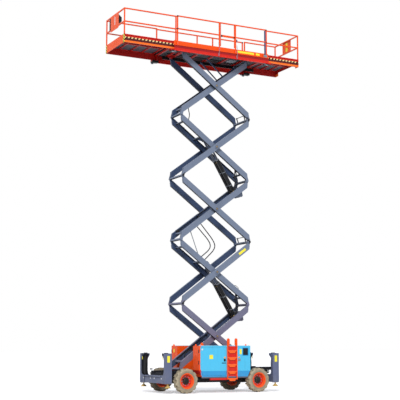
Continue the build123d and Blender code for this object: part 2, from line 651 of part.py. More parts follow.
def outrigger_beam(x):
    """Cross beam between the plates of both columns."""
    half = OUTRIGGER_W / 2 - PLATE_T
    reach = OUTRIGGER_IN_Y - 140
    return block(x - half, x + half, -reach, reach, OUTRIGGER_LOW_Z + 5, BEAM_TOP_Z)


def outrigger_leg(x):
    """Sliding leg with its lug, cylinder rod and bell foot."""
    half = OUTRIGGER_W / 2 - PLATE_T - RUN_GAP
    in_y, out_y = OUTRIGGER_IN_Y + 12.0 + RUN_GAP, OUTRIGGER_OUT_Y - 12.0 - RUN_GAP
    mid_y = (in_y + out_y) / 2
    leg = block(x - half, x + half, in_y, out_y, FOOT_Z + 130, OUTRIGGER_TOP_Z - 60)
    leg += prism_z(x, mid_y, FOOT_Z + 60, FOOT_Z + 130, 24)
    bell = faceted([(FOOT_R, FOOT_Z), (FOOT_R, FOOT_Z + 12), (36, FOOT_Z + 82)], sides=16)
    lug_y = OUTRIGGER_IN_Y - LEG_CYL_IN
    leg += Pos(x, mid_y, 0) * bell + block(x - 30, x + 30, lug_y - 25, in_y, 460, 520)
    leg += prism_z(x, lug_y, 500, OUTRIGGER_TOP_Z - 180, 20, PIN_SIDES)
    return leg


def build_outriggers():
    """Frames and cylinders on the chassis, and four sliding legs."""
    columns, beams, barrels = [], [], []
    y, low = OUTRIGGER_IN_Y - LEG_CYL_IN, BEAM_TOP_Z + 25
    for x in (OUTRIGGER_FRONT_X, OUTRIGGER_REAR_X):
        columns += loose_pair(outrigger_column(x)).solids()
        beams.append(outrigger_beam(x))
        barrel = prism_z(x, y, low, OUTRIGGER_TOP_Z - 79 - SEAT_GAP, LEG_CYL_R, sides=16)
        barrel -= prism_z(x, y, low - 1, OUTRIGGER_TOP_Z - 120, 20 + PIN_PLAY, around=True)
        barrels += loose_pair(barrel).solids()
    save("outrigger_frames", Compound(columns))
    save("outrigger_beams", Compound(beams))
    save("outrigger_cylinders", Compound(barrels))
    for end, x in (("front", OUTRIGGER_FRONT_X), ("rear", OUTRIGGER_REAR_X)):
        leg = outrigger_leg(x)
        save(f"outrigger_leg_{end}_left", leg)
        save(f"outrigger_leg_{end}_right", leg.mirror(Plane.XZ))


# ---------------------------------------------------------------- side boxes
def box_outline(inset):
    """Outline of a side box in XZ, with its cut lower corners."""
    x0, x1 = BOX_REAR_X + inset, BOX_FRONT_X - inset
    z0, z1 = BOX_LOW_Z + inset, BOX_TOP_Z - inset
    cut_x, cut_z = BOX_CORNER_X, BOX_CORNER_Z
    return [(x0, z1), (x1, z1), (x1, z0 + cut_z), (x1 - cut_x, z0), (x0 + cut_x, z0), (x0, z0 + cut_z)]


def build_side_boxes():
    """Hollow boxes beside the scissor, each with a hinged outer door."""
    body = slab_y(box_outline(0), BOX_IN_Y, BOX_OUT_Y)
    body -= slab_y(box_outline(BOX_WALL), BOX_IN_Y + BOX_WALL, BOX_OUT_Y - BOX_WALL)
    opening = slab_y(box_outline(BOX_WALL * 2), BOX_OUT_Y - BOX_WALL - 1, BOX_OUT_Y + 1)
    opening -= block(BOX_REAR_X - 1, DOOR_REAR_X, BOX_OUT_Y - 100, BOX_OUT_Y + 10, 0, BOX_TOP_Z + 10)
    body -= opening
    gap = 6.0
    door = slab_y(box_outline(BOX_WALL * 2 + gap), BOX_OUT_Y - BOX_WALL, BOX_OUT_Y)
    door -= block(BOX_REAR_X - 1, DOOR_REAR_X + gap, BOX_OUT_Y - 100, BOX_OUT_Y + 10, 0, BOX_TOP_Z + 10)
    hinge_x, hinge_y = BOX_FRONT_X - DOOR_HINGE_IN, BOX_OUT_Y + DOOR_HINGE_OUT
    for z in (BOX_LOW_Z + 400, BOX_LOW_Z + 780):
        fixed, swung = hinge_halves(hinge_x, hinge_y, z, 24.0, BOX_OUT_Y, BOX_OUT_Y)
        body += fixed
        door += swung
    stand = block(BOX_REAR_X + 380, BOX_FRONT_X - 240, RAIL_OUT_Y, BOX_OUT_Y - 200, BOX_LOW_Z - 60, BOX_LOW_Z)
    for side in ("left", "right"):
        for name, shape in (("side_box", body), ("side_box_door", door)):
            save(f"{name}_{side}", shape if side == "left" else shape.mirror(Plane.XZ))
    save("box_supports", Compound([*loose_pair(stand).solids(), side_step()]))
    engine_x, engine_z = BOX_REAR_X + ENGINE_REAR_GAP, BOX_LOW_Z + BOX_WALL
    save("engine_block", block(engine_x, engine_x + ENGINE_L, ENGINE_SIDE_GAP - BOX_OUT_Y, -BOX_IN_Y - ENGINE_SIDE_GAP,
                               engine_z, engine_z + ENGINE_H))


def side_step():
    """Square step tube on two hangers under the left box."""
    top = BOX_LOW_Z - STEP_DROP + STEP_H
    y1 = BOX_OUT_Y - 10
    y0 = y1 - STEP_H
    step = block(STEP_REAR_X, STEP_FRONT_X, y0, y1, top - STEP_H, top)
    step -= block(STEP_REAR_X - 1, STEP_FRONT_X + 1, y0 + 6, y1 - 6, top - STEP_H + 6, top - 6)
    for x in (STEP_REAR_X + 60, STEP_FRONT_X - 90):
        step += block(x, x + 30, y0 + 10, y1 - 10, top, BOX_LOW_Z)
    return step


def build_beacons():
    """Signal lamps on the box tops: a tall one, and small ones at three corners."""
    table = (
        # x, y, radius, height
        (BOX_FRONT_X - 180, BOX_OUT_Y - 150, 60.0, 105.0),
        (BOX_FRONT_X - 70, BOX_IN_Y + 70, 32.0, 60.0),
        (BOX_REAR_X + 130, BOX_OUT_Y - 100, 32.0, 60.0),
        (BOX_FRONT_X - 60, 70 - BOX_OUT_Y, 32.0, 60.0),
    )
    lamps = []
    for x, y, r, h in table:
        profile = [(r, 0), (r, 0.3 * h), (0.86 * r, 0.36 * h), (0.8 * r, 0.74 * h), (0.4 * r, h)]
        lamps.append(Pos(x, y, BOX_TOP_Z) * faceted(profile, sides=12))
    save("beacons", Compound(lamps))


def build_ladder():
    """Entry ladder with grab handles on the left box."""
    y0, y1 = BOX_OUT_Y, BOX_OUT_Y + LADDER_DEPTH
    x0, x1 = LADDER_REAR_X, LADDER_FRONT_X
    ladder = block(x0, x1, y0, y0 + 6, BOX_LOW_Z + 10, LADDER_TOP_Z - 70)
    grip_low = LADDER_TOP_Z - 60
    for x, way in ((x0, 1), (x1, -1)):
        a, b = sorted((x, x + way * 30))
        ladder += block(a, b, y0, y1, LADDER_LOW_Z, LADDER_TOP_Z)
        c, d = sorted((x, x + way * GRAB_W))
        cut = GRAB_W / 3
        ladder += slab_y([(c, grip_low + cut), (c, GRAB_TOP_Z - cut), (c + cut, GRAB_TOP_Z), (d - cut, GRAB_TOP_Z),
                          (d, GRAB_TOP_Z - cut), (d, grip_low + cut), (d - cut, grip_low), (c + cut, grip_low)], y0, y1)
    z = LADDER_LOW_Z + 20
    while z < LADDER_TOP_Z:
        ladder += block(x0, x1, y0, y1, z, z + 30)
        z += STEP_PITCH
    save("ladder", ladder)


# ---------------------------------------------------------------- platform
def build_main_deck():
    """Main deck frame: side beams, stringer channels, cross members and arm pivots."""
    x0, x1 = DECK_REAR_X, DECK_FRONT_X
    y_in, y_out = DECK_HALF_W - RAIL_TUBE, DECK_HALF_W
    beam = block(x0, x1, y_in, y_out, BEAM_LOW_Z, DECK_TOP_Z)
    beam -= block(x0 - 1, x1 + 1, y_in - 1, y_out - 8, BEAM_LOW_Z + 8, DECK_TOP_Z - 8)
    toe = block(x0, x1, y_in - 7, y_in - 1, DECK_TOP_Z - 30, DECK_TOP_Z + TOE_H)
    toe += block(x0, x1, y_in - 7, y_in, DECK_TOP_Z - 8, DECK_TOP_Z)
    side = beam + toe + channel(STOWED_REAR_X - 70, FRONT_PIN_X + 300, TOP_PIN_Z, 1)
    ch_y = CHANNEL_Y + CHANNEL_FLANGE
    low, shelf = BEAM_LOW_Z, EXT_LOW_Z - RUN_GAP
    gusset = [
        (ch_y - 4, CROSS_LOW_Z), (FLOOR_HALF_W, CROSS_LOW_Z), (FLOOR_HALF_W, shelf), (y_in, shelf), (y_in, low),
        (y_in - 120, low), (ch_y, TOP_PIN_Z - ROLLER_R), (ch_y - 4, TOP_PIN_Z - ROLLER_R),
    ]
    count = 7
    places = [x0 + 60 + (x1 - x0 - 120) * k / (count - 1) for k in range(count)]
    for x in places:
        side += slab_x(gusset, x - 6, x + 6)
    frame = both_sides(side)
    for x in places + [FRONT_PIN_X - 105, FRONT_PIN_X + 105]:
        frame += block(x - 30, x + 30, -FLOOR_HALF_W, FLOOR_HALF_W, CROSS_LOW_Z, FLOOR_LOW_Z)
    o_y0, o_y1 = OUTER_ARM_Y, OUTER_ARM_Y + ARM_WIDTH
    cheek = (ARM_WIDTH - LUG_T) / 2 - RUN_GAP
    for c0, c1 in ((o_y0, o_y0 + cheek), (o_y1 - cheek, o_y1)):
        half = BOSS_R - 10.0
        outline = [(FRONT_PIN_X - half, TOP_PIN_Z), (FRONT_PIN_X + half, TOP_PIN_Z),
                   (FRONT_PIN_X + 135, CROSS_LOW_Z), (FRONT_PIN_X + 135, FLOOR_LOW_Z),
                   (FRONT_PIN_X - 135, FLOOR_LOW_Z), (FRONT_PIN_X - 135, CROSS_LOW_Z)]
        plate = slab_y(outline, c0, c1) + prism_y(FRONT_PIN_X, c0, c1, TOP_PIN_Z, BOSS_R)
        frame += both_sides(plate)
    frame += both_sides(bar_y(FRONT_PIN_X, o_y0 + cheek / 2, o_y1 - cheek / 2, TOP_PIN_Z, PIN_R))
    for bx0, bx1 in ((DECK_FRONT_X - 150, DECK_FRONT_X + 110), (DECK_REAR_X - 130, DECK_REAR_X + 130)):
        bracket = block(bx0, bx1, FLOOR_HALF_W - 60, y_in + 8, BEAM_LOW_Z - 30, EXT_LOW_Z - SEAT_GAP)
        frame += both_sides(bracket)
    save("main_deck", frame)
    save("deck_floor", block(x0, x1, -FLOOR_HALF_W, FLOOR_HALF_W, FLOOR_LOW_Z, FLOOR_LOW_Z + FLOOR_T))


def post(x, z0, z1, y_mid):
    """Square guardrail post."""
    half = RAIL_TUBE / 2
    return block(x - half, x + half, y_mid - half, y_mid + half, z0, z1)


def rail(x0, x1, z, y_mid):
    """Square guardrail along X, its top at z."""
    half = RAIL_TUBE / 2
    return block(x0, x1, y_mid - half, y_mid + half, z - RAIL_TUBE, z)


def conduit(x, z0, z1, y_mid):
    """Square cable duct beside a post, from x towards the front."""
    half = RAIL_TUBE / 2 - 2
    return block(x, x + CONDUIT_W, y_mid - half, y_mid + half, z0, z1)


def build_main_rails():
    """Guardrails of the main deck, with the gate bay open on the left."""
    y = DECK_HALF_W - RAIL_TUBE / 2
    half = RAIL_TUBE / 2
    front, rear = DECK_FRONT_X - 138, DECK_REAR_X + 100
    xs = (front, GATE_FRONT_X + half, GATE_REAR_X - half, rear)
    left = None
    for x in xs:
        piece = post(x, DECK_TOP_Z, HANDRAIL_Z, y)
        left = piece if left is None else left + piece
    for z in (HANDRAIL_Z, MIDRAIL_Z):
        left += rail(GATE_FRONT_X, front + half, z, y) + rail(rear - half, GATE_REAR_X, z, y)
    right = left + rail(GATE_REAR_X, GATE_FRONT_X, HANDRAIL_Z, y) + rail(GATE_REAR_X, GATE_FRONT_X, MIDRAIL_Z, y)
    hinge_x, hinge_y = GATE_FRONT_X - GATE_HINGE_OUT, y - half - GATE_HINGE_IN
    hinges = [hinge_halves(hinge_x, hinge_y, z, 16.0, y - half, y - 15) for z in (MIDRAIL_Z - 150, HANDRAIL_Z - 160)]
    right = right.mirror(Plane.XZ)
    for fixed, swung in hinges:
        left += fixed
    left += conduit(rear + half, DECK_TOP_Z, HANDRAIL_Z - 60, y)
    left += conduit(GATE_REAR_X - RAIL_TUBE - CONDUIT_W, MIDRAIL_Z - 190, MIDRAIL_Z - 100, y)
    right += conduit(front - half - CONDUIT_W, DECK_TOP_Z + TOE_H, MIDRAIL_Z, -y)
    save("main_rails", Compound([*left.solids(), *right.solids()]))
    gap = 8.0
    x0, x1 = GATE_REAR_X + gap, GATE_FRONT_X - gap
    gate = rail(x0, x1, HANDRAIL_Z, y) + block(x0, x1, y - 15, y + 15, MIDRAIL_Z - 70, MIDRAIL_Z)
    for x in (x0 + 15, x1 - 15):
        gate += block(x - 15, x + 15, y - 15, y + 15, DECK_TOP_Z + TOE_H + 30, HANDRAIL_Z)
    for fixed, swung in hinges:
        gate += swung
    save("gate", gate)


def extension(end_x, inner_x, way, notch):
    """Roll-out deck frame with its floor: way is +1 for the front deck, -1 for the rear one.

    With notch the end beam is cut out below the floor, where it rolls in over the arms and their channels.
    """
    x0, x1 = sorted((end_x, inner_x))
    y_out = EXT_HALF_W
    y_in = EXT_HALF_W - RAIL_TUBE
    beam = block(x0, x1, y_in, y_out, EXT_LOW_Z, EXT_TOP_Z)
    beam -= block(x0 + 20, x1 - 20, y_in + 8, y_out + 1, EXT_LOW_Z + 55, EXT_TOP_Z - 25)
    frame = both_sides(beam)
    cross_low = FLOOR_LOW_Z + FLOOR_T + 10.0
    count = 6
    for k in range(count):
        x = inner_x + (end_x - inner_x - way * 40) * k / (count - 1) + way * 20
        frame += block(x - 20, x + 20, -y_in, y_in, cross_low, EXT_FLOOR_LOW_Z)
    frame += block(x0 + 20, x1 - 20, -30, 30, cross_low, EXT_FLOOR_LOW_Z)
    frame += block(x0 + 2, x1 - 2, -y_in, y_in, EXT_FLOOR_LOW_Z, EXT_FLOOR_LOW_Z + FLOOR_T)
    e0, e1 = sorted((end_x, end_x - way * 20))
    frame += block(e0, e1, -y_out, y_out, EXT_LOW_Z, EXT_TOP_Z)
    if notch:
        half = CHANNEL_Y + CHANNEL_FLANGE + 2 * RUN_GAP
        frame -= block(e0 - 1, e1 + 1, -half, half, EXT_LOW_Z - 1, CROSS_LOW_Z + RUN_GAP)
    return frame


def extension_rails(end_x, post_x, way, panel):
    """Guardrails round a roll-out deck; panel is the (y, y, height) of the plate under its end rail."""
    y = EXT_HALF_W - RAIL_TUBE / 2
    half = RAIL_TUBE / 2
    end_post = end_x - way * half
    x0, x1 = sorted((end_post, post_x))
    side = post(end_post, EXT_TOP_Z, HANDRAIL_Z, y) + post(post_x, EXT_TOP_Z, HANDRAIL_Z, y)
    for z in (HANDRAIL_Z, MIDRAIL_Z):
        side += rail(x0 - half, x1 + half, z, y)
    frame = both_sides(side)
    for z in (HANDRAIL_Z, MIDRAIL_Z):
        frame += block(end_post - half, end_post + half, -y, y, z - RAIL_TUBE, z)
    y0, y1, height = panel
    p0, p1 = sorted((end_x, end_x + way * END_PANEL_T))
    return frame + block(p0, p1, y0, y1, HANDRAIL_Z - height, HANDRAIL_Z)


def build_extensions():
    """Front and rear roll-out decks."""
    table = (
        # name, end of the deck, inner end of its frame, inner post, way out, notched, end panel
        ("front", EXT_FRONT_X, DECK_FRONT_X - EXT_LAP, DECK_FRONT_X - 107, 1, False, (-385, 335, FRONT_PANEL_H)),
        ("rear", EXT_REAR_X, DECK_REAR_X + EXT_LAP, DECK_REAR_X + 45, -1, True, (-300, 300, REAR_PANEL_H)),
    )
    for name, end_x, inner_x, post_x, way, notch, panel in table:
        save(f"{name}_extension", extension(end_x, inner_x, way, notch))
        save(f"{name}_extension_rails", extension_rails(end_x, post_x, way, panel))


def build_platform_controls():
    """Control console behind the front end rail of the front roll-out deck, its top sloped to the user."""
    x1 = EXT_FRONT_X - RAIL_TUBE
    low = HANDRAIL_Z - 300
    outline = [(x1, low), (x1, HANDRAIL_Z), (x1 - 60, HANDRAIL_Z), (x1 - 190, low + 190), (x1 - 190, low + 40),
               (x1 - 150, low)]
    save("platform_controls", slab_y(outline, -330, 70))


build_scissor()
build_cylinders()
build_steady_struts()
build_chassis()
build_axles()
build_steering()
build_wheels()
build_outriggers()
build_side_boxes()
build_beacons()
build_ladder()
build_main_deck()
build_main_rails()
build_extensions()
build_platform_controls()
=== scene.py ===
"""Finishes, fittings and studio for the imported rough-terrain scissor lift.

+X is the front of the machine, +Y its left side, +Z up, and lengths are metres. Places come from the boxes of the
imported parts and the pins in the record, and the numbers beside them are offsets from those.
"""

import json
import logging
import math
from dataclasses import dataclass
from enum import Enum
from typing import Iterable, Sequence

import bmesh
import bpy
from mathutils import Matrix, Vector

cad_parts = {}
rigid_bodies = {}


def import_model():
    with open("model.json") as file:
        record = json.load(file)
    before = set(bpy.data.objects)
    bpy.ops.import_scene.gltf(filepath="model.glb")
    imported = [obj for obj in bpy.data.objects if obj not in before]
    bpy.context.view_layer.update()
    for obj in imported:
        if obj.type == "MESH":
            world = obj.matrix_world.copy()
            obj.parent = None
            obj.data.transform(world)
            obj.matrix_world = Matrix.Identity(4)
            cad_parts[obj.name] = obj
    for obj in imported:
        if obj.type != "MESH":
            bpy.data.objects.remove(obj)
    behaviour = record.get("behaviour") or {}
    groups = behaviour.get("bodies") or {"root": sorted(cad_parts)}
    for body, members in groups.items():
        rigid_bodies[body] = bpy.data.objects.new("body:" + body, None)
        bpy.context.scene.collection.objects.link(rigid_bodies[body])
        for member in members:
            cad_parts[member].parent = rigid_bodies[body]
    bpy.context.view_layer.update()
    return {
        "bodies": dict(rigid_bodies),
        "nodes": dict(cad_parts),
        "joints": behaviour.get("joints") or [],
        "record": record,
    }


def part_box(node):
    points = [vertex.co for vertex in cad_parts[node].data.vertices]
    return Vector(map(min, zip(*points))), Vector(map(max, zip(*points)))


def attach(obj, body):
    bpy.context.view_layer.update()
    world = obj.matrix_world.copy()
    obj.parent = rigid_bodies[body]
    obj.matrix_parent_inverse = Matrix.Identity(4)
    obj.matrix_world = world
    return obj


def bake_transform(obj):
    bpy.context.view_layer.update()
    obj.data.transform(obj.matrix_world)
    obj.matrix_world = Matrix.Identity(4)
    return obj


LOG = logging.getLogger("scissor_lift")
ROUND_SIDES = 20
STACKS = 5
SHARP_ANGLE = math.radians(38)      # edges sharper than this aren't shaded smooth
MERGE = 1e-5                        # points nearer than this are one
SHEEN = 0.3                         # specular level of every finish
FACES_SIDE = 0.5                    # share of the normal along Y from which a face looks sideways
FACES_DOWN = -0.35                  # and along Z from which it looks down
DOME_STEPS = 5
SIDES = {"left": 1.0, "right": -1.0}    # which way each looks, along Y
ENDS = {"front": 1.0, "rear": -1.0}     # and along X

Colour = tuple[float, float, float]
Profile = tuple[tuple[float, float], ...]
Corner = tuple[float | None, float | None, float | None]
GRIME: Colour = (0.32, 0.3, 0.28)


def linear(red: int, green: int, blue: int) -> Colour:
    """Turns a paint-chart colour into scene-linear light.

    Args:
        red: red from 0 to 255.
        green: green from 0 to 255.
        blue: blue from 0 to 255.

    Returns:
        The linear colour.
    """
    def channel(value: int) -> float:
        """Linear share of one channel."""
        share = value / 255
        return share / 12.92 if share <= 0.04045 else ((share + 0.055) / 1.055) ** 2.4
    return channel(red), channel(green), channel(blue)


class Chart(Enum):
    """Paint chart of the machine."""

    ARM_SLATE = linear(114, 125, 146)
    # Navy of painted shade on the arms' faces that look inward.
    ARM_INNER_SHADE = linear(50, 66, 96)
    # Near-black of painted shade on faces that look down and, on the outriggers, inward.
    ARM_UNDER_SHADE = linear(20, 24, 34)
    # Purplish grey of the arms low down: a painted reflection that tints them red.
    ARM_LOWER_REFLECTION = linear(112, 112, 136)
    # Near-black navy: the frame's dark paint, deepened as painted shade under the machine.
    CHASSIS_IN_SHADE = linear(24, 27, 36)
    OUTRIGGER = linear(96, 104, 132)
    BLACK = linear(17, 18, 21)
    SATIN_BLACK = linear(28, 30, 35)
    ORANGE = linear(250, 84, 6)
    FLANGE_ORANGE = linear(255, 118, 34)
    RED = linear(214, 32, 20)
    DARK_RED = linear(170, 20, 15)
    SKY = linear(80, 194, 236)
    SKY_BAND = linear(48, 154, 214)
    LABEL = linear(250, 236, 66)
    BRASS = linear(196, 164, 96)
    PIN = linear(150, 132, 104)
    RUBBER = linear(84, 77, 66)
    DUST = linear(202, 188, 160)
    STEEL = linear(132, 138, 146)
    GLASS = linear(18, 20, 24)
    PALE = linear(226, 228, 230)
    AMBER = linear(255, 96, 8)
    # Chrome darkened as painted shade, for the rods that lie in shadow.
    CHROME_IN_SHADE = linear(96, 100, 110)
    NUT = linear(172, 174, 178)
    SKY_PALE = linear(150, 208, 236)
    SILL = linear(98, 98, 112)
    LADDER_STEP = linear(255, 104, 34)
    # Crimson of painted shade: the band of a deck side beam under its toe board's overhang.
    SHADED_CRIMSON = linear(158, 14, 20)
    # Near-black red of painted shade in the recess of a roll-out deck's side beam.
    RECESS_SHADE_RED = linear(82, 14, 14)
    DASH = linear(248, 216, 150)
    DUCT_BLUE = linear(52, 78, 118)
    FLANGE_RED = linear(236, 44, 26)
    CABLE = linear(150, 132, 146)
    STILE = linear(222, 128, 116)
    KNOB = linear(250, 168, 50)
    PLATE_GREY = linear(78, 82, 90)


# ---------------------------------------------------------------- shader boards
class Wire:
    """A shader value that takes arithmetic."""

    def __init__(self, board: "Board", socket: bpy.types.NodeSocket) -> None:
        """Wraps a socket of a board."""
        self.board = board
        self.socket = socket

    def _math(self, operation: str, first: "Wire | float", second: "Wire | float") -> "Wire":
        """Value of a Math node on two values."""
        return self.board.node("ShaderNodeMath", {"operation": operation}, {0: first, 1: second})

    def __add__(self, other: "Wire | float") -> "Wire":
        """Sum."""
        return self._math("ADD", self, other)

    __radd__ = __add__

    def __sub__(self, other: "Wire | float") -> "Wire":
        """Difference."""
        return self._math("SUBTRACT", self, other)

    def __rsub__(self, other: "Wire | float") -> "Wire":
        """Difference the other way."""
        return self._math("SUBTRACT", other, self)

    def __mul__(self, other: "Wire | float") -> "Wire":
        """Product."""
        return self._math("MULTIPLY", self, other)

    __rmul__ = __mul__

    def __truediv__(self, other: "Wire | float") -> "Wire":
        """Quotient."""
        return self._math("DIVIDE", self, other)

    def __gt__(self, other: "Wire | float") -> "Wire":
        """1 where this is more than the other, else 0."""
        return self._math("GREATER_THAN", self, other)

    def __lt__(self, other: "Wire | float") -> "Wire":
        """1 where this is less than the other, else 0."""
        return self._math("LESS_THAN", self, other)

    def size(self) -> "Wire":
        """Value without its sign."""
        return self._math("ABSOLUTE", self, 0.0)

    def wrapped(self, length: float) -> "Wire":
        """Value counted again from zero at every length."""
        return self._math("FLOORED_MODULO", self, length)

    def clipped(self) -> "Wire":
        """Value held between 0 and 1."""
        return self.board.node("ShaderNodeClamp", {}, {"Value": self})


class Board:
    """Node tree of one material."""

    def __init__(self, name: str) -> None:
        """Starts the material of a name.

        Args:
            name: the material's name.
        """
        self.material = bpy.data.materials.new(name)
        self.material.use_nodes = True
        self.tree = self.material.node_tree
        self.shader = self.tree.nodes["Principled BSDF"]
        self._parts: dict[str, Wire] = {}

    def node(self, kind: str, settings: dict, inputs: dict, output: int | str = 0) -> Wire:
        """Adds a node.

        Args:
            kind: the node's type.
            settings: its properties, set before its sockets.
            inputs: values or wires by socket name or number.
            output: the socket that comes back.

        Returns:
            The output as a wire.
        """
        made = self.tree.nodes.new(kind)
        for key, value in settings.items():
            setattr(made, key, value)
        for key, value in inputs.items():
            self.feed(made.inputs[key], value)
        return Wire(self, made.outputs[output])

    def feed(self, socket: bpy.types.NodeSocket, value: "Wire | Chart | float | Sequence[float]") -> None:
        """Links or sets one socket.

        Args:
            socket: the socket.
            value: a wire to link, or a colour or number to set.
        """
        if isinstance(value, Chart):
            value = value.value
        if isinstance(value, Wire):
            self.tree.links.new(value.socket, socket)
        elif isinstance(value, tuple) and len(value) == 3 and socket.type == "RGBA":
            socket.default_value = (*value, 1.0)
        else:
            socket.default_value = value

    def place(self) -> Wire:
        """Object coordinates as a vector."""
        return self.node("ShaderNodeTexCoord", {}, {}, "Object")

    def _part(self, kind: str, output: str, name: str) -> Wire:
        """Splits a node's vector and keeps its three parts.

        Args:
            kind: the type of the node that gives the vector.
            output: its output.
            name: the part, X, Y or Z.

        Returns:
            The part.
        """
        if output + name not in self._parts:
            whole = self.node(kind, {}, {}, output)
            split = self.node("ShaderNodeSeparateXYZ", {}, {0: whole}, "X").socket.node
            for axis in "XYZ":
                self._parts[output + axis] = Wire(self, split.outputs[axis])
        return self._parts[output + name]

    def axis(self, name: str) -> Wire:
        """One object coordinate, X, Y or Z."""
        return self._part("ShaderNodeTexCoord", "Object", name)

    def facing(self, name: str) -> Wire:
        """One part of the surface normal, X, Y or Z."""
        return self._part("ShaderNodeNewGeometry", "Normal", name)

    def from_axle(self, x: float, z: float) -> Wire:
        """Distance from an axle that lies along Y at a place."""
        dx, dz = self.axis("X") - x, self.axis("Z") - z
        return self.node("ShaderNodeMath", {"operation": "SQRT"}, {0: dx * dx + dz * dz})

    def noise(self, scale: float, detail: float = 3.0, stretch: Sequence[float] = (1.0, 1.0, 1.0)) -> Wire:
        """Noise from 0 to 1 over the object."""
        spot = self.node("ShaderNodeMapping", {}, {"Vector": self.place(), "Scale": tuple(stretch)})
        return self.node("ShaderNodeTexNoise", {}, {"Vector": spot, "Scale": scale, "Detail": detail}, "Fac")

    def mix(self, share: "Wire | float", first: "Wire | Chart | Colour", second: "Wire | Chart | Colour",
            blend: str = "MIX") -> Wire:
        """Lays one colour over another.

        Args:
            share: how much of the second shows.
            first: the ground.
            second: the colour over it.
            blend: the way that they blend.

        Returns:
            The mixed colour.
        """
        made = self.tree.nodes.new("ShaderNodeMix")
        made.data_type, made.blend_type = "RGBA", blend
        for index, value in ((0, share), (6, first), (7, second)):
            self.feed(made.inputs[index], value)
        return Wire(self, made.outputs[2])

    def bump(self, height: Wire, depth: float, strength: float = 0.6) -> Wire:
        """Normal raised by a height."""
        return self.node("ShaderNodeBump", {}, {"Height": height, "Distance": depth, "Strength": strength})

    def finish(self, **sockets: "Wire | Chart | float | Colour") -> bpy.types.Material:
        """Feeds the shader.

        Args:
            sockets: what goes to each socket, its name with _ for a space.

        Returns:
            The material.
        """
        self.shader.inputs["Specular IOR Level"].default_value = SHEEN
        for name, value in sockets.items():
            self.feed(self.shader.inputs[name.replace("_", " ")], value)
        return self.material


# ---------------------------------------------------------------- finishes
@dataclass(frozen=True)
class Zone:
    """Part of a painted piece that has another colour, between two corners or by where it faces; zones by where a
    face looks inward or down also serve for painted shade.
    """

    colour: Chart
    low: Corner = (None, None, None)
    high: Corner = (None, None, None)
    outward: bool = False       # faces away from the machine's middle plane
    inward: bool = False        # faces the machine's middle plane
    under: bool = False         # faces down
    either_side: bool = True    # Y counts from the middle plane, whichever side

    def mask(self, board: Board) -> Wire:
        """Tells the zone from the rest.

        Args:
            board: the material's board.

        Returns:
            1 inside the zone, else 0.
        """
        tests = []
        for index, name in enumerate("XYZ"):
            place = board.axis(name)
            if name == "Y" and self.either_side:
                place = place.size()
            if self.low[index] is not None:
                tests.append(place > self.low[index])
            if self.high[index] is not None:
                tests.append(place < self.high[index])
        side = board.node("ShaderNodeMath", {"operation": "SIGN"}, {0: board.axis("Y")})
        if self.outward:
            tests.append(board.facing("Y") * side > FACES_SIDE)
        if self.inward:
            tests.append(board.facing("Y") * side < -FACES_SIDE)
        if self.under:
            tests.append(board.facing("Z") < FACES_DOWN)
        return math.prod(tests[1:], start=tests[0])


@dataclass(frozen=True)
class Stripes:
    """Bands of two colours along one axis, inside a zone."""

    first: Chart
    second: Chart
    pitch: float
    zone: Zone
    along: str = "X"
    slant: float = 0.0

    def lay(self, board: Board, ground: "Wire | Chart") -> Wire:
        """Lays the bands over a ground colour.

        Args:
            board: the material's board.
            ground: the ground colour.

        Returns:
            The banded colour.
        """
        run = board.axis(self.along) + board.axis("Z") * self.slant
        band = run.wrapped(self.pitch) > self.pitch / 2
        return board.mix(self.zone.mask(board), ground, board.mix(band, self.first, self.second))


@dataclass(frozen=True)
class Finish:
    """What every finish has: its name and its main colour."""

    name: str
    colour: Chart

    def make(self) -> bpy.types.Material:
        """Makes the material of this finish."""
        raise NotImplementedError(self.name)

    def material(self) -> bpy.types.Material:
        """Material of this finish, made at its first use."""
        return bpy.data.materials.get(self.name) or self.make()


@dataclass(frozen=True)
class Paint(Finish):
    """Enamel on steel with mottling, dust low down, fine scratches and an orange-peel skin."""

    zones: tuple[Zone, ...] = ()
    stripes: tuple[Stripes, ...] = ()
    roughness: float = 0.42
    dust_top: float = 0.0       # dust fades out at this height
    dust: float = 0.35
    coat: float = 0.06

    def make(self) -> bpy.types.Material:
        """Makes the material.

        Returns:
            The material of this finish.
        """
        board = Board(self.name)
        colour: Wire | Chart = self.colour
        for zone in self.zones:
            colour = board.mix(zone.mask(board), colour, zone.colour)
        for stripe in self.stripes:
            colour = stripe.lay(board, colour)
        mottle = board.noise(3.2, 4.0)
        streak = board.noise(9.0, 5.0, (1.0, 1.0, 0.16))
        scratch = board.noise(60.0, 2.0, (1.0, 1.0, 8.0))
        shade = (streak - 0.52).clipped() * 0.55 + (mottle - 0.5).clipped() * 0.25
        colour = board.mix(shade.clipped(), colour, GRIME, "MULTIPLY")
        if self.dust_top > 0.0:
            low = ((self.dust_top - board.axis("Z")) / self.dust_top).clipped()
            patch = (board.noise(6.0, 6.0) * 1.6 - 0.45).clipped()
            colour = board.mix(low * patch * self.dust, colour, Chart.DUST)
        rough = self.roughness + (mottle - 0.5) * 0.22 + (scratch > 0.66) * 0.12
        peel = board.noise(180.0, 2.0)
        return board.finish(
            Base_Color=colour, Roughness=rough, Coat_Weight=self.coat,
            Normal=board.bump(peel + (scratch > 0.7) * 0.4, 0.0003, 0.12),
        )


@dataclass(frozen=True)
class BareMetal(Finish):
    """Machined or plated metal with turning marks and oil film."""

    roughness: float = 0.22
    metallic: float = 1.0
    grain: float = 0.3

    def make(self) -> bpy.types.Material:
        """Makes the material.

        Returns:
            The material of this finish.
        """
        board = Board(self.name)
        film = board.noise(14.0, 4.0)
        lines = board.noise(120.0, 3.0, (1.0, 1.0, 12.0))
        colour = board.mix((film - 0.45).clipped() * 0.7, self.colour, Chart.SATIN_BLACK)
        return board.finish(
            Base_Color=colour, Metallic=self.metallic, Roughness=self.roughness + film * 0.18,
            Normal=board.bump(lines, 0.0004, self.grain),
        )


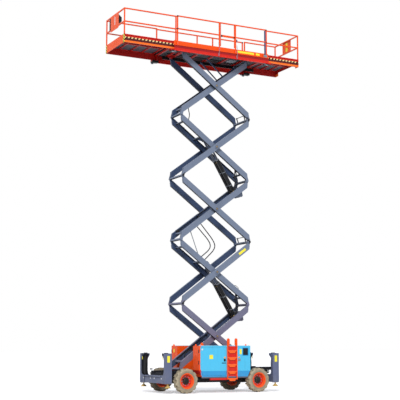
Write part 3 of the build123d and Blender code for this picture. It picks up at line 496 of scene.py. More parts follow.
@dataclass(frozen=True)
class Rubber(Finish):
    """Tyre rubber, dusty on the tread and sidewall ribs."""

    tread_radius: float
    centre_x: float
    centre_z: float
    # Share of dust; lowered on the right-hand tyres as painted shade.
    dust: float = 1.0

    def make(self) -> bpy.types.Material:
        """Makes the material.

        Returns:
            The material of this finish.
        """
        board = Board(self.name)
        radius = board.from_axle(self.centre_x, self.centre_z)
        tread = ((radius - self.tread_radius * 0.74) / (self.tread_radius * 0.2)).clipped()
        patch = (board.noise(11.0, 6.0) * 1.5 - 0.25).clipped()
        share = (0.3 + 0.25 * patch + tread * patch * 0.45) * self.dust
        colour = board.mix(share, self.colour, Chart.DUST)
        ribs = (radius.wrapped(0.022) - 0.011).size() / 0.011
        skin = board.noise(90.0, 4.0) + ribs * (1.0 - tread) * 0.8
        return board.finish(
            Base_Color=colour, Roughness=0.78 + patch * 0.16, Normal=board.bump(skin, 0.0025, 0.6)
        )


@dataclass(frozen=True)
class RimPaint(Finish):
    """Wheel rim: orange lip, red dish and a hub of the main colour, by distance from the axle."""

    centre_x: float
    centre_z: float
    hub: float
    dish: float

    def make(self) -> bpy.types.Material:
        """Makes the material.

        Returns:
            The material of this finish.
        """
        board = Board(self.name)
        radius = board.from_axle(self.centre_x, self.centre_z)
        colour = board.mix(radius > self.hub, self.colour, Chart.RED)
        colour = board.mix(radius > self.dish, colour, Chart.ORANGE)
        grime = (board.noise(12.0, 5.0) * 1.5 - 0.5).clipped()
        colour = board.mix(grime * 0.18, colour, Chart.DUST)
        return board.finish(Base_Color=colour, Roughness=0.45 + grime * 0.3, Coat_Weight=0.1,
                            Normal=board.bump(board.noise(160.0), 0.0006, 0.3))


@dataclass(frozen=True)
class FloorPlate(Finish):
    """Pressed anti-slip floor plate: diamond lugs over dark primer."""

    pitch: float = 0.04

    def make(self) -> bpy.types.Material:
        """Makes the material.

        Returns:
            The material of this finish.
        """
        board = Board(self.name)
        across = (board.axis("X") + board.axis("Y")).wrapped(self.pitch) - self.pitch / 2
        along = (board.axis("X") - board.axis("Y")).wrapped(self.pitch) - self.pitch / 2
        lug = ((across.size() < self.pitch * 0.12) * 0.7 + (along.size() < self.pitch * 0.12) * 0.7).clipped()
        wear = board.noise(5.0, 5.0)
        colour = board.mix(lug * 0.6 + (wear - 0.5).clipped() * 0.6, self.colour, Chart.STEEL)
        return board.finish(
            Base_Color=colour, Metallic=0.35, Roughness=0.5 + wear * 0.2, Normal=board.bump(lug, 0.003, 0.7)
        )


@dataclass(frozen=True)
class Moulding(Finish):
    """Moulded plastic or lens with a fine grain."""

    roughness: float = 0.45
    glow: float = 0.0

    def make(self) -> bpy.types.Material:
        """Makes the material.

        Returns:
            The material of this finish.
        """
        board = Board(self.name)
        grain = board.noise(240.0, 2.0)
        tone = board.noise(8.0, 3.0)
        darker = tuple(0.7 * part for part in self.colour.value)
        colour = board.mix((tone - 0.45).clipped() * 0.8, self.colour, darker)
        board.shader.inputs["Emission Strength"].default_value = self.glow
        return board.finish(
            Base_Color=colour, Emission_Color=colour, Roughness=self.roughness + tone * 0.1,
            Normal=board.bump(grain, 0.0005, 0.3),
        )


# ---------------------------------------------------------------- mesh making
class Shape:
    """A mesh in the making, in the machine's own frame."""

    def __init__(self) -> None:
        """Starts an empty mesh."""
        self.mesh = bmesh.new()

    def box(self, first: Sequence[float], second: Sequence[float], edge: float = 0.0, steps: int = 2) -> "Shape":
        """Adds a block.

        Args:
            first: one corner.
            second: the corner across from it.
            edge: how far its edges are rounded.
            steps: steps in the rounding.

        Returns:
            This shape.
        """
        a, b = Vector(map(min, first, second)), Vector(map(max, first, second))
        return self.plate((a + b) / 2, b - a, Matrix.Identity(3), edge, steps)

    def plate(self, centre: Vector, size: Sequence[float], turn: Matrix, edge: float = 0.0,
              steps: int = 2) -> "Shape":
        """Adds a block turned about its middle.

        Args:
            centre: its middle.
            size: its length, width and height before it is turned.
            turn: its turn.
            edge: how far its edges are rounded.
            steps: steps in the rounding.

        Returns:
            This shape.
        """
        made = bmesh.ops.create_cube(self.mesh, size=1.0)["verts"]
        bmesh.ops.transform(self.mesh, matrix=Matrix.Diagonal((*size, 1.0)), verts=made)
        place = Matrix.Translation(centre) @ turn.to_4x4()
        bmesh.ops.transform(self.mesh, matrix=place, verts=made)
        if edge > 0.0:
            edges = list({line for vert in made for line in vert.link_edges})
            bmesh.ops.bevel(
                self.mesh, geom=edges, offset=edge, segments=steps, profile=0.5, affect="EDGES", material=-1
            )
        return self

    def rod(self, start: Sequence[float], end: Sequence[float], radius: float, tip: float | None = None,
            sides: int = ROUND_SIDES) -> "Shape":
        """Adds a round bar or cone.

        Args:
            start: middle of its first end.
            end: middle of its last end.
            radius: radius at the start.
            tip: radius at the end, as at the start where none is given.
            sides: sides round it.

        Returns:
            This shape.
        """
        a, b = Vector(start), Vector(end)
        run = b - a
        made = bmesh.ops.create_cone(
            self.mesh, cap_ends=True, cap_tris=False, segments=sides, radius1=radius,
            radius2=radius if tip is None else tip, depth=run.length,
        )["verts"]
        turn = run.to_track_quat("Z", "Y").to_matrix().to_4x4()
        bmesh.ops.transform(self.mesh, matrix=Matrix.Translation((a + b) / 2) @ turn, verts=made)
        return self

    def turned(self, profile: Iterable[tuple[float, float]], foot: Sequence[float],
               way: Sequence[float] = (0, 0, 1), sides: int = ROUND_SIDES) -> "Shape":
        """Adds a turned form.

        Args:
            profile: radius and height pairs from the axis out and back to it.
            foot: where height zero stands.
            way: direction of its axis.
            sides: steps round it.

        Returns:
            This shape.
        """
        before = set(self.mesh.verts)
        made = [self.mesh.verts.new((radius, 0.0, height)) for radius, height in profile]
        lines = [self.mesh.edges.new(pair) for pair in zip(made, made[1:])]
        bmesh.ops.spin(
            self.mesh, geom=made + lines, cent=(0, 0, 0), axis=(0, 0, 1), angle=math.tau, steps=sides,
            use_merge=True, use_duplicate=False,
        )
        verts = [vert for vert in self.mesh.verts if vert not in before]
        bmesh.ops.remove_doubles(self.mesh, verts=verts, dist=MERGE)
        verts = [vert for vert in self.mesh.verts if vert not in before]
        turn = Vector(way).to_track_quat("Z", "Y").to_matrix().to_4x4()
        bmesh.ops.transform(self.mesh, matrix=Matrix.Translation(Vector(foot)) @ turn, verts=verts)
        return self

    def bolt(self, foot: Sequence[float], rise: Sequence[float], radius: float) -> "Shape":
        """Adds a six-sided bolt head that rises from its foot."""
        return self.rod(foot, Vector(foot) + Vector(rise), radius, sides=6)

    def tile(self, way: float, face: float, low: tuple[float, float], high: tuple[float, float], thick: float,
             edge: float = 0.0) -> "Shape":
        """Adds a flat block on a side wall.

        Args:
            way: 1 on the machine's left, -1 on its right.
            face: distance of the wall from the middle plane.
            low: its lowest X and Z.
            high: its highest X and Z.
            thick: how far it stands out.
            edge: how far its edges are rounded.

        Returns:
            This shape.
        """
        return self.box((low[0], way * face, low[1]), (high[0], way * (face + thick), high[1]), edge)

    def dome_out(self, centre: Sequence[float], radius: float, rise: float, way: float) -> "Shape":
        """Adds a flat dome that looks outwards.

        Args:
            centre: middle of its foot.
            radius: radius of its foot.
            rise: its height.
            way: 1 to the machine's left, -1 to its right.

        Returns:
            This shape.
        """
        turns = [math.pi / 2 * k / DOME_STEPS for k in range(DOME_STEPS + 1)]
        profile = [(0.0, 0.0)] + [(radius * math.cos(turn), rise * math.sin(turn)) for turn in turns]
        return self.turned(profile, centre, (0, way, 0))

    def mirrored(self) -> "Shape":
        """Adds the twin on the other side of the machine.

        Returns:
            This shape.
        """
        geometry = self.mesh.verts[:] + self.mesh.edges[:] + self.mesh.faces[:]
        copy = bmesh.ops.duplicate(self.mesh, geom=geometry)["geom"]
        verts = [item for item in copy if isinstance(item, bmesh.types.BMVert)]
        bmesh.ops.scale(self.mesh, vec=(1.0, -1.0, 1.0), verts=verts)
        return self

    def piece(self, name: str, finish: Finish, body: str, slot: str) -> bpy.types.Object:
        """Closes the mesh and hangs it on a body.

        Args:
            name: name of the piece.
            finish: its finish.
            body: the body that it rides on.
            slot: the record's slot that its finish belongs to; not used.

        Returns:
            The object.
        """
        bmesh.ops.recalc_face_normals(self.mesh, faces=self.mesh.faces[:])
        for face in self.mesh.faces:
            face.smooth = True
        for line in self.mesh.edges:
            line.smooth = not (len(line.link_faces) == 2 and line.calc_face_angle(0.0) > SHARP_ANGLE)
        data = bpy.data.meshes.new(name)
        self.mesh.to_mesh(data)
        self.mesh.free()
        made = linked(name, data, finish)
        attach(made, body)
        return made


def linked(name: str, data: bpy.types.Mesh, finish: Finish) -> bpy.types.Object:
    """Puts a mesh into the scene.

    Args:
        name: name of the piece.
        data: its mesh.
        finish: its finish.

    Returns:
        The object.
    """
    data.materials.clear()
    data.materials.append(finish.material())
    made = bpy.data.objects.new(name, data)
    bpy.context.scene.collection.objects.link(made)
    LOG.info("%s: %d faces", name, len(data.polygons))
    return made


def hose(name: str, routes: Sequence[Sequence[Sequence[float]]], radius: float, finish: Finish, body: str,
         across: tuple[str, Vector, Vector] | None = None) -> bpy.types.Object:
    """Makes hoses, pipes or cables that are held at both ends.

    Args:
        name: name of the piece.
        routes: points that each of them follows.
        radius: their radius.
        finish: their finish.
        body: the body that they ride on.
        across: where they cross a joint, the second body and two places; when it is given, they ride on no body,
            and what it holds is not used.

    Returns:
        The object.
    """
    data = bpy.data.curves.new(name, "CURVE")
    data.dimensions = "3D"
    for route in routes:
        spline = data.splines.new("NURBS")
        spline.points.add(len(route) - 1)
        for point, spot in zip(spline.points, route):
            point.co = (*spot, 1.0)
        spline.order_u = 3
        spline.use_endpoint_u = True
    data.bevel_depth = radius
    data.bevel_resolution = 2
    data.resolution_u = 6
    data.use_fill_caps = True
    curve = bpy.data.objects.new(name, data)
    bpy.context.scene.collection.objects.link(curve)
    mesh = bpy.data.meshes.new_from_object(curve.evaluated_get(bpy.context.evaluated_depsgraph_get()))
    bpy.data.objects.remove(curve)
    bpy.data.curves.remove(data)
    closed = bmesh.new()
    closed.from_mesh(mesh)
    bmesh.ops.remove_doubles(closed, verts=closed.verts[:], dist=MERGE)
    bmesh.ops.recalc_face_normals(closed, faces=closed.faces[:])
    for face in closed.faces:
        face.smooth = len(face.verts) == 4
    closed.to_mesh(mesh)
    closed.free()
    mesh.name = name
    made = linked(name, mesh, finish)
    if across is None:
        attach(made, body)
    else:
        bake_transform(made)
    return made


# ---------------------------------------------------------------- turned profiles
# Each is a row of radius and height pairs, from the axis or the bore out and back to it.
PIN_CAP: Profile = (
    (0.0, 0.0), (0.036, 0.0), (0.036, 0.007), (0.030, 0.010), (0.014, 0.010), (0.012, 0.006), (0.0, 0.006),
)
PIN_COLLAR: Profile = (
    (0.056, -0.001), (0.088, -0.001), (0.088, 0.008), (0.082, 0.012), (0.056, 0.012), (0.056, -0.001),
)
PIN_HEAD: Profile = ((0.0, 0.0), (0.040, 0.0), (0.040, 0.014), (0.034, 0.020), (0.0, 0.020))
GLAND: Profile = (
    (0.0635, 0.0), (0.068, 0.0), (0.071, 0.006), (0.071, 0.040), (0.067, 0.046), (0.0635, 0.046), (0.0635, 0.0),
)
HUB_CAP: Profile = (
    (0.0, 0.0), (0.072, 0.0), (0.072, 0.010), (0.060, 0.022), (0.028, 0.028), (0.026, 0.034), (0.0, 0.034),
)
BELT_WHEEL: Profile = (
    (0.0, 0.0), (0.09, 0.0), (0.09, 0.008), (0.078, 0.016), (0.09, 0.024), (0.09, 0.032), (0.03, 0.032),
    (0.0, 0.026),
)
LEG_PIN_BOSS: Profile = ((0.0, 0.0), (0.052, 0.0), (0.052, 0.006), (0.044, 0.012), (0.0, 0.012))
STICK_BOOT: Profile = ((0.0, 0.0), (0.030, 0.0), (0.024, 0.016), (0.010, 0.030), (0.0, 0.030))
STICK_GRIP: Profile = ((0.0, 0.0), (0.016, 0.004), (0.020, 0.022), (0.014, 0.038), (0.0, 0.042))
BUTTON: Profile = ((0.0, 0.0), (0.013, 0.0), (0.013, 0.012), (0.0, 0.014))
STOP_BUTTON: Profile = ((0.0, 0.0), (0.012, 0.0), (0.012, 0.012), (0.024, 0.014), (0.024, 0.024), (0.0, 0.030))


def ring(bore: float, radius: float, low: float, high: float) -> Profile:
    """Gives the profile of a plain ring.

    Args:
        bore: its inner radius.
        radius: its outer radius.
        low: its lowest height.
        high: its highest height.

    Returns:
        The closed profile.
    """
    return (bore, low), (radius, low), (radius, high), (bore, high), (bore, low)


def evenly(first: float, last: float, count: int) -> list[float]:
    """Gives evenly spaced places.

    Args:
        first: the first place.
        last: the last place.
        count: how many there are.

    Returns:
        The places.
    """
    return [first + (last - first) * k / (count - 1) for k in range(count)]


def around(centre: Vector, radius: float, count: int) -> list[tuple[float, float]]:
    """Gives evenly spaced places on a circle about an axle.

    Args:
        centre: the circle's middle.
        radius: its radius.
        count: how many there are.

    Returns:
        Their X and Z.
    """
    turns = [math.tau * k / count for k in range(count)]
    return [(centre.x + radius * math.cos(turn), centre.z + radius * math.sin(turn)) for turn in turns]


# ---------------------------------------------------------------- sub-assemblies
@dataclass(frozen=True)
class Tube:
    """A straight member of the machine: where its middle stands and how it leans."""

    middle: Vector
    slope: float
    rises_to_front: bool

    @property
    def turn(self) -> Matrix:
        """Turn from level to the member's own line."""
        return Matrix.Rotation(-self.slope if self.rises_to_front else self.slope, 3, "Y")

    def spot(self, along: float, up: float, y: float = 0.0) -> Vector:
        """Point on the member.

        Args:
            along: distance from its middle towards its high end.
            up: distance out of its top face's side.
            y: distance from the machine's middle plane.

        Returns:
            The point.
        """
        way = 1.0 if self.rises_to_front else -1.0
        x = along * math.cos(self.slope) - up * math.sin(self.slope)
        z = along * math.sin(self.slope) + up * math.cos(self.slope)
        return Vector((self.middle.x + way * x, y, self.middle.z + z))


@dataclass
class Assembly:
    """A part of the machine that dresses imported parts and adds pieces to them."""

    frame: dict

    def dress(self, finish: Finish, *nodes: str) -> None:
        """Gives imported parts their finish.

        Args:
            finish: the finish.
            nodes: names of the parts.
        """
        for node in nodes:
            data = self.frame["nodes"][node].data
            data.materials.clear()
            data.materials.append(finish.material())
            LOG.info("%s dressed in %s", node, finish.name)

    def joints(self) -> dict[str, dict]:
        """Joints of the record by name."""
        return {joint["name"]: joint for joint in self.frame["record"]["behaviour"]["joints"]}


@dataclass
class ScissorStack(Assembly):
    """Five pairs of crossed arm frames with their pin heads, hoses, hoops and labels."""

    arm_low_y: float = 0.335        # inner face of an inner arm
    arm_face_y: float = 0.555       # outer face of an outer arm
    head_y: float = 0.575           # face of a crossing pin's head
    knee_along: float = 1.764       # from a crossing to the end pins
    knee_offset: float = 0.1075     # of an end pin from the tube's middle line
    top_face: float = 0.07          # of a tube above its middle line
    hose_reach: float = 1.40
    hose_up: float = 0.076
    hose_radius: float = 0.012
    bridge_radius: float = 0.019

    def build(self) -> None:
        """Dresses the arms and adds their small fittings."""
        joints = self.joints()
        self.pins = {name: Vector(joint["pos_m"]) for name, joint in joints.items() if "pos_m" in joint}
        self.slope = -math.radians(joints["lift"]["range_deg"][0])
        shades = (
            # Painted reflection: the arms below 3.2 m take a purplish grey.
            Zone(Chart.ARM_LOWER_REFLECTION, high=(None, None, 3.2)),
            # Painted shade: faces that look inward are navy.
            Zone(Chart.ARM_INNER_SHADE, inward=True),
            # Painted shade: faces that look down are near-black.
            Zone(Chart.ARM_UNDER_SHADE, under=True),
        )
        self.paint = Paint("arm_enamel", Chart.ARM_SLATE, zones=shades, roughness=0.5, dust_top=2.0, dust=0.2)
        self.black = Paint("arm_fitting_enamel", Chart.SATIN_BLACK, roughness=0.5)
        self.rubber = Moulding("hose_rubber", Chart.BLACK, roughness=0.55)
        for index in range(1, STACKS + 1):
            self.dress(self.paint, f"outer_arms_{index}", f"inner_arms_{index}")
            self.crossing(index)
            self.knees(index)
            self.hose_run(index)
        self.hose_hoops()
        self.bridging_pipes()
        for index in (1, 3):
            self.bridging_hoses(index)
        self.top_bridging_hose()
        self.trays()
        self.arm_labels()
        self.loops()
        self.top_parts()

    def tube(self, index: int, inner: bool) -> Tube:
        """One arm frame's line."""
        front = (index % 2 == 0) if inner else (index % 2 == 1)
        return Tube(self.pins[f"crossing_{index}"], self.slope, front)

    def crossing(self, index: int) -> None:
        """Turned caps on a crossing pin, and welded collars round it.

        Args:
            index: the pair's number, counted from below.
        """
        centre = self.pins[f"crossing_{index}"]
        metal = BareMetal("pin_cap_metal", Chart.PIN, roughness=0.35)
        for name, profile, face, finish, body, slot in (
            ("crossing_pin_caps", PIN_CAP, self.head_y, metal, "inner_arms", "cast"),
            ("crossing_collars", PIN_COLLAR, self.arm_face_y, self.paint, "outer_arms", "arm_paint"),
        ):
            shape = Shape().turned(profile, (centre.x, face, centre.z), (0, 1, 0)).mirrored()
            shape.piece(f"{name}_{index}", finish, f"{body}_{index}", slot)

    def knees(self, index: int) -> None:
        """Heads and lock plates on the end pins at an outer frame's low end.

        Args:
            index: the pair's number, counted from below.
        """
        arm = self.tube(index, inner=False)
        lock_up = 0.02 - self.knee_offset
        shape = Shape()
        shape.turned(PIN_HEAD, arm.spot(-self.knee_along, -self.knee_offset, self.arm_face_y), (0, 1, 0))
        lock = arm.spot(-self.knee_along + 0.075, lock_up, self.arm_face_y + 0.004)
        shape.plate(lock, (0.09, 0.008, 0.035), arm.turn, 0.003)
        for along in (0.055, 0.1):
            foot = arm.spot(-self.knee_along + along, lock_up, self.arm_face_y + 0.008)
            shape.bolt(foot, (0, 0.008, 0), 0.009)
        shape.mirrored().piece(f"end_pin_heads_{index}", self.black, f"outer_arms_{index}", "black_steel")

    def hose_run(self, index: int) -> None:
        """Pair of hoses clamped along the inside of the right-hand inner arm.

        Args:
            index: the pair's number, counted from below.
        """
        arm = self.tube(index, inner=True)
        name = f"inner_arms_{index}"
        places = (-self.hose_reach, -0.5, 0.5, self.hose_reach)
        routes = [[arm.spot(along, self.hose_up, offset - self.arm_low_y) for along in places]
                  for offset in (0.016, 0.042)]
        hose(f"arm_hoses_{index}", routes, self.hose_radius, self.rubber, name)
        clamps = Shape()
        for along in (-1.2, -0.6, 0.0, 0.6, 1.2):
            middle = arm.spot(along, self.hose_up, 0.03 - self.arm_low_y)
            clamps.plate(middle, (0.04, 0.06, 0.034), arm.turn, 0.004)
        clamps.piece(f"hose_clamps_{index}", self.black, name, "black_steel")

    def hose_hoops(self) -> None:
        """Hose guide hoops over the cross tubes of two outer frames' rear low ends."""
        reach = self.arm_low_y - 0.03
        for index in (3, 5):
            arm = self.tube(index, inner=False)
            hoop = Shape()
            hoop.rod(arm.spot(-1.60, 0.02, -reach), arm.spot(-1.60, 0.02, reach), 0.014)
            for y in (-0.27, 0.27):
                hoop.rod(arm.spot(-1.74, -0.08, y), arm.spot(-1.585, 0.035, y), 0.021, sides=8)
            hoop.piece(f"hose_hoop_{index}", self.black, f"outer_arms_{index}", "black_steel")

    def bridging_pipes(self) -> None:
        """Sleeved pipes and a pale cable that bridge the rear joint between inner frames 2 and 3."""
        low, high = self.tube(2, inner=True), self.tube(3, inner=True)
        knee = self.pins["knee_2"]
        # The pipe sleeves are moulded in this same near-black.
        sleeve = Moulding("pipe_sleeve", Chart.ARM_UNDER_SHADE, roughness=0.5)
        pale = Moulding("prop_sleeve", Chart.STEEL, roughness=0.5)
        routes = []
        for shift, y in ((0.0, 0.27), (0.17, 0.30)):
            start, end = high.spot(-0.92 + shift, -self.top_face, y), low.spot(0.74 - shift, self.top_face, y)
            apex = knee.x - 1.27 - shift
            near_start = start.lerp(Vector((apex, y, knee.z - 0.10)), 0.82)
            near_end = end.lerp(Vector((apex, y, knee.z - 0.26)), 0.78)
            bend = Vector((apex + 0.02, y, knee.z - 0.18))
            routes.append([
                start, start.lerp(near_start, 0.5), near_start, bend, near_end, near_end.lerp(end, 0.5), end,
            ])
        hose("bridging_pipes_2", routes, self.bridge_radius, sleeve, "inner_arms_2",
             across=("inner_arms_3", routes[0][-1], routes[0][0]))
        foot, head = low.spot(0.80, self.top_face, 0.31), high.spot(-1.24, -self.top_face, 0.31)
        hose("bridging_cable_2", [[foot, foot.lerp(head, 0.35), foot.lerp(head, 0.7), head]], 0.016, pale,
             "inner_arms_2", across=("inner_arms_3", foot, head))

    def bridging_hoses(self, index: int) -> None:
        """Three hoses and their fittings that bridge the front joint above an inner frame.

        Args:
            index: the pair's number, counted from below.
        """
        low, high = self.tube(index, inner=True), self.tube(index + 1, inner=True)
        knee = self.pins[f"knee_{index}"]
        routes = []
        for y, bulge in ((0.23, 0.0), (0.27, 0.05), (0.31, -0.06)):
            start, end = low.spot(1.12, self.top_face, y), high.spot(-1.16, 0.0, y)
            out = knee.x + 0.42 - bulge
            routes.append([
                start,
                start.lerp(Vector((out, y, knee.z - 0.22)), 0.6),
                Vector((out, y, knee.z - 0.16)),
                Vector((out - 0.05, y, knee.z)),
                Vector((out + 0.02, y, knee.z + 0.17)),
                end.lerp(Vector((out, y, knee.z + 0.22)), 0.5),
                end,
            ])
        hose(f"bridging_hoses_{index}", routes, self.bridge_radius, self.rubber, f"inner_arms_{index}",
             across=(f"inner_arms_{index + 1}", routes[0][0], routes[0][-1]))
        brass = Shape()
        for route in routes:
            brass.rod(route[0], route[0].lerp(route[1], 0.22), 0.024, sides=6)
        finish = BareMetal(f"fitting_brass_{index}", Chart.BRASS)
        brass.piece(f"hose_fittings_{index}", finish, f"inner_arms_{index}", "cast")

    def top_bridging_hose(self) -> None:
        """Hose that bridges the rear joint between inner frames 4 and 5."""
        low, high = self.tube(4, inner=True), self.tube(5, inner=True)
        knee, y = self.pins["knee_4"], 0.29
        start, end = low.spot(1.3, -0.02, y), high.spot(-1.3, 0.0, y)
        bend = [Vector((knee.x - back, y, knee.z + up)) for back, up in ((0.34, -0.16), (0.38, 0.0), (0.34, 0.16))]
        hose("bridging_hoses_4", [[start, *bend, end]], 0.016, self.rubber, "inner_arms_4",
             across=("inner_arms_5", start, end))

    def trays(self) -> None:
        """Raised hose tray with its black brackets on the third inner frame, and a low one on the first."""
        y = -self.arm_low_y + 0.052
        for index, low, high in ((3, -1.45, -0.35), (1, -0.75, 0.1)):
            arm = self.tube(index, inner=True)
            middle, length = (low + high) / 2, high - low
            tray = Shape()
            tray.plate(arm.spot(middle, 0.122, y), (length, 0.09, 0.008), arm.turn, 0.002)
            for side in (-0.043, 0.043):
                tray.plate(arm.spot(middle, 0.108, y + side), (length, 0.006, 0.034), arm.turn, 0.002)
            tray.piece(f"hose_tray_{index}", self.paint, f"inner_arms_{index}", "arm_paint")
            bracket = Shape()
            bracket.plate(arm.spot(low + 0.05, 0.05, y), (0.10, 0.10, 0.13), arm.turn, 0.01)
            bracket.plate(arm.spot(high - 0.05, 0.06, y), (0.05, 0.09, 0.11), arm.turn, 0.008)
            bracket.piece(f"tray_brackets_{index}", self.black, f"inner_arms_{index}", "black_steel")

    def arm_labels(self) -> None:
        """Blank labels on the second outer frame."""
        arm = self.tube(2, inner=False)
        label = Shape()
        label.plate(arm.spot(1.30, 0.0, self.arm_face_y + 0.0015), (0.34, 0.003, 0.085), arm.turn, 0.001)
        film = Moulding("label_film", Chart.LABEL, roughness=0.5)
        label.mirrored().piece("arm_label", film, "outer_arms_2", "arm_paint")

    def loops(self) -> None:
        """Cable hoop on the second inner frame and hose loop on the first."""
        hoop = ((-1.18, 0.08), (-1.16, 0.16), (-1.10, 0.19), (-0.98, 0.18), (-0.93, 0.13), (-0.92, 0.08))
        loop = ((-1.34, 0.07), (-1.33, 0.14), (-1.22, 0.19), (-1.02, 0.17), (-0.84, 0.11), (-0.76, 0.07))
        for name, index, y, points, radius, finish in (
            ("cable_hoop", 2, 0.29, hoop, 0.009, self.black),
            ("low_hose_loop", 1, 0.255, loop, 0.02, self.rubber),
        ):
            arm = self.tube(index, inner=True)
            route = [arm.spot(along, up, y) for along, up in points]
            hose(name, [route], radius, finish, f"inner_arms_{index}")

    def top_parts(self) -> None:
        """Cable lug on the fourth inner frame and the bumpers at the top sliding end."""
        arm = self.tube(4, inner=True)
        lug = Shape()
        lug.plate(arm.spot(0.76, 0.11, 0.30), (0.10, 0.06, 0.06), arm.turn, 0.008)
        lug.rod(arm.spot(0.76, 0.13, 0.30), arm.spot(0.76, 0.165, 0.30), 0.016, sides=10)
        lug.piece("cable_lug", self.black, "inner_arms_4", "black_steel")
        top = self.tube(5, inner=True).spot(self.knee_along, self.knee_offset)
        bumper = Shape()
        bumper.box((top.x - 0.10, 0.20, top.z - 0.085), (top.x + 0.14, 0.32, top.z - 0.046), 0.012)
        bumper.mirrored().piece("sliding_end_bumpers", self.black, "inner_arms_5", "black_steel")


@dataclass
class LiftCylinders(Assembly):
    """Lower and upper pairs of hydraulic cylinders with glands and pipes, and the steady struts."""

    spread: float = 0.125           # of a cylinder from the middle plane
    radius: float = 0.064
    length: float = 1.54
    port_places: tuple[float, float] = (0.17, 1.42)     # along a barrel

    def build(self) -> None:
        """Dresses barrels, rods and struts."""
        joints = self.joints()
        for level in ("lower", "upper"):
            self.dress(Paint("barrel_enamel", Chart.BLACK, roughness=0.38), f"{level}_lift_barrels")
            # The rods' chrome is darkened as painted shade.
            self.dress(BareMetal("rod_chrome_plate", Chart.CHROME_IN_SHADE, roughness=0.25), f"{level}_lift_rods")
            way = Vector(joints[f"{level}_rod_slide"]["axis"]).normalized()
            line = Tube(Vector(joints[f"{level}_barrel_pivot"]["pos_m"]), math.atan2(way.z, way.x), True)
            self.fittings(level, line, way)
            self.pipes(level, line)
        # The steady struts are enamelled in this same navy.
        self.dress(Paint("strut_enamel", Chart.ARM_INNER_SHADE), "steady_struts")

    def fittings(self, level: str, line: Tube, way: Vector) -> None:
        """Glands, bands and ports of one pair of barrels.

        Args:
            level: lower or upper.
            line: the barrels' line.
            way: direction of the stroke.
        """
        rings, ports = Shape(), Shape()
        for side in (-1, 1):
            y = side * self.spread
            rings.turned(GLAND, line.spot(self.length - 0.048, 0.0, y), way)
            for along in (0.45, 0.98):
                rings.turned(ring(0.0645, 0.069, 0.0, 0.03), line.spot(along, 0.0, y), way)
            for along in self.port_places:
                ports.bolt(line.spot(along, -0.02, y - side * 0.045), (0, side * -0.040, 0), 0.016)
        steel = BareMetal("gland_steel", Chart.STEEL, roughness=0.4)
        brass = BareMetal("port_brass", Chart.BRASS, roughness=0.3)
        rings.piece(f"{level}_glands", steel, f"{level}_barrels", "rod_chrome")
        ports.piece(f"{level}_ports", brass, f"{level}_barrels", "cast")

    def pipes(self, level: str, line: Tube) -> None:
        """Pipe between the two ports of each barrel.

        Args:
            level: lower or upper.
            line: the barrels' line.
        """
        pipe = Paint("pipe_enamel", Chart.SATIN_BLACK, roughness=0.5)
        first, last = self.port_places
        y = self.spread - self.radius - 0.012
        path = (
            (first, -0.02, y + 0.02), (0.22, 0.0, y), (0.8, 0.0, y), (1.36, 0.0, y), (last, -0.02, y + 0.02),
        )
        for name, side in (("right", -1), ("left", 1)):
            route = [line.spot(along, up, side * out) for along, up, out in path]
            hose(f"{level}_barrel_pipe_{name}", [route], 0.009, pipe, f"{level}_barrels")


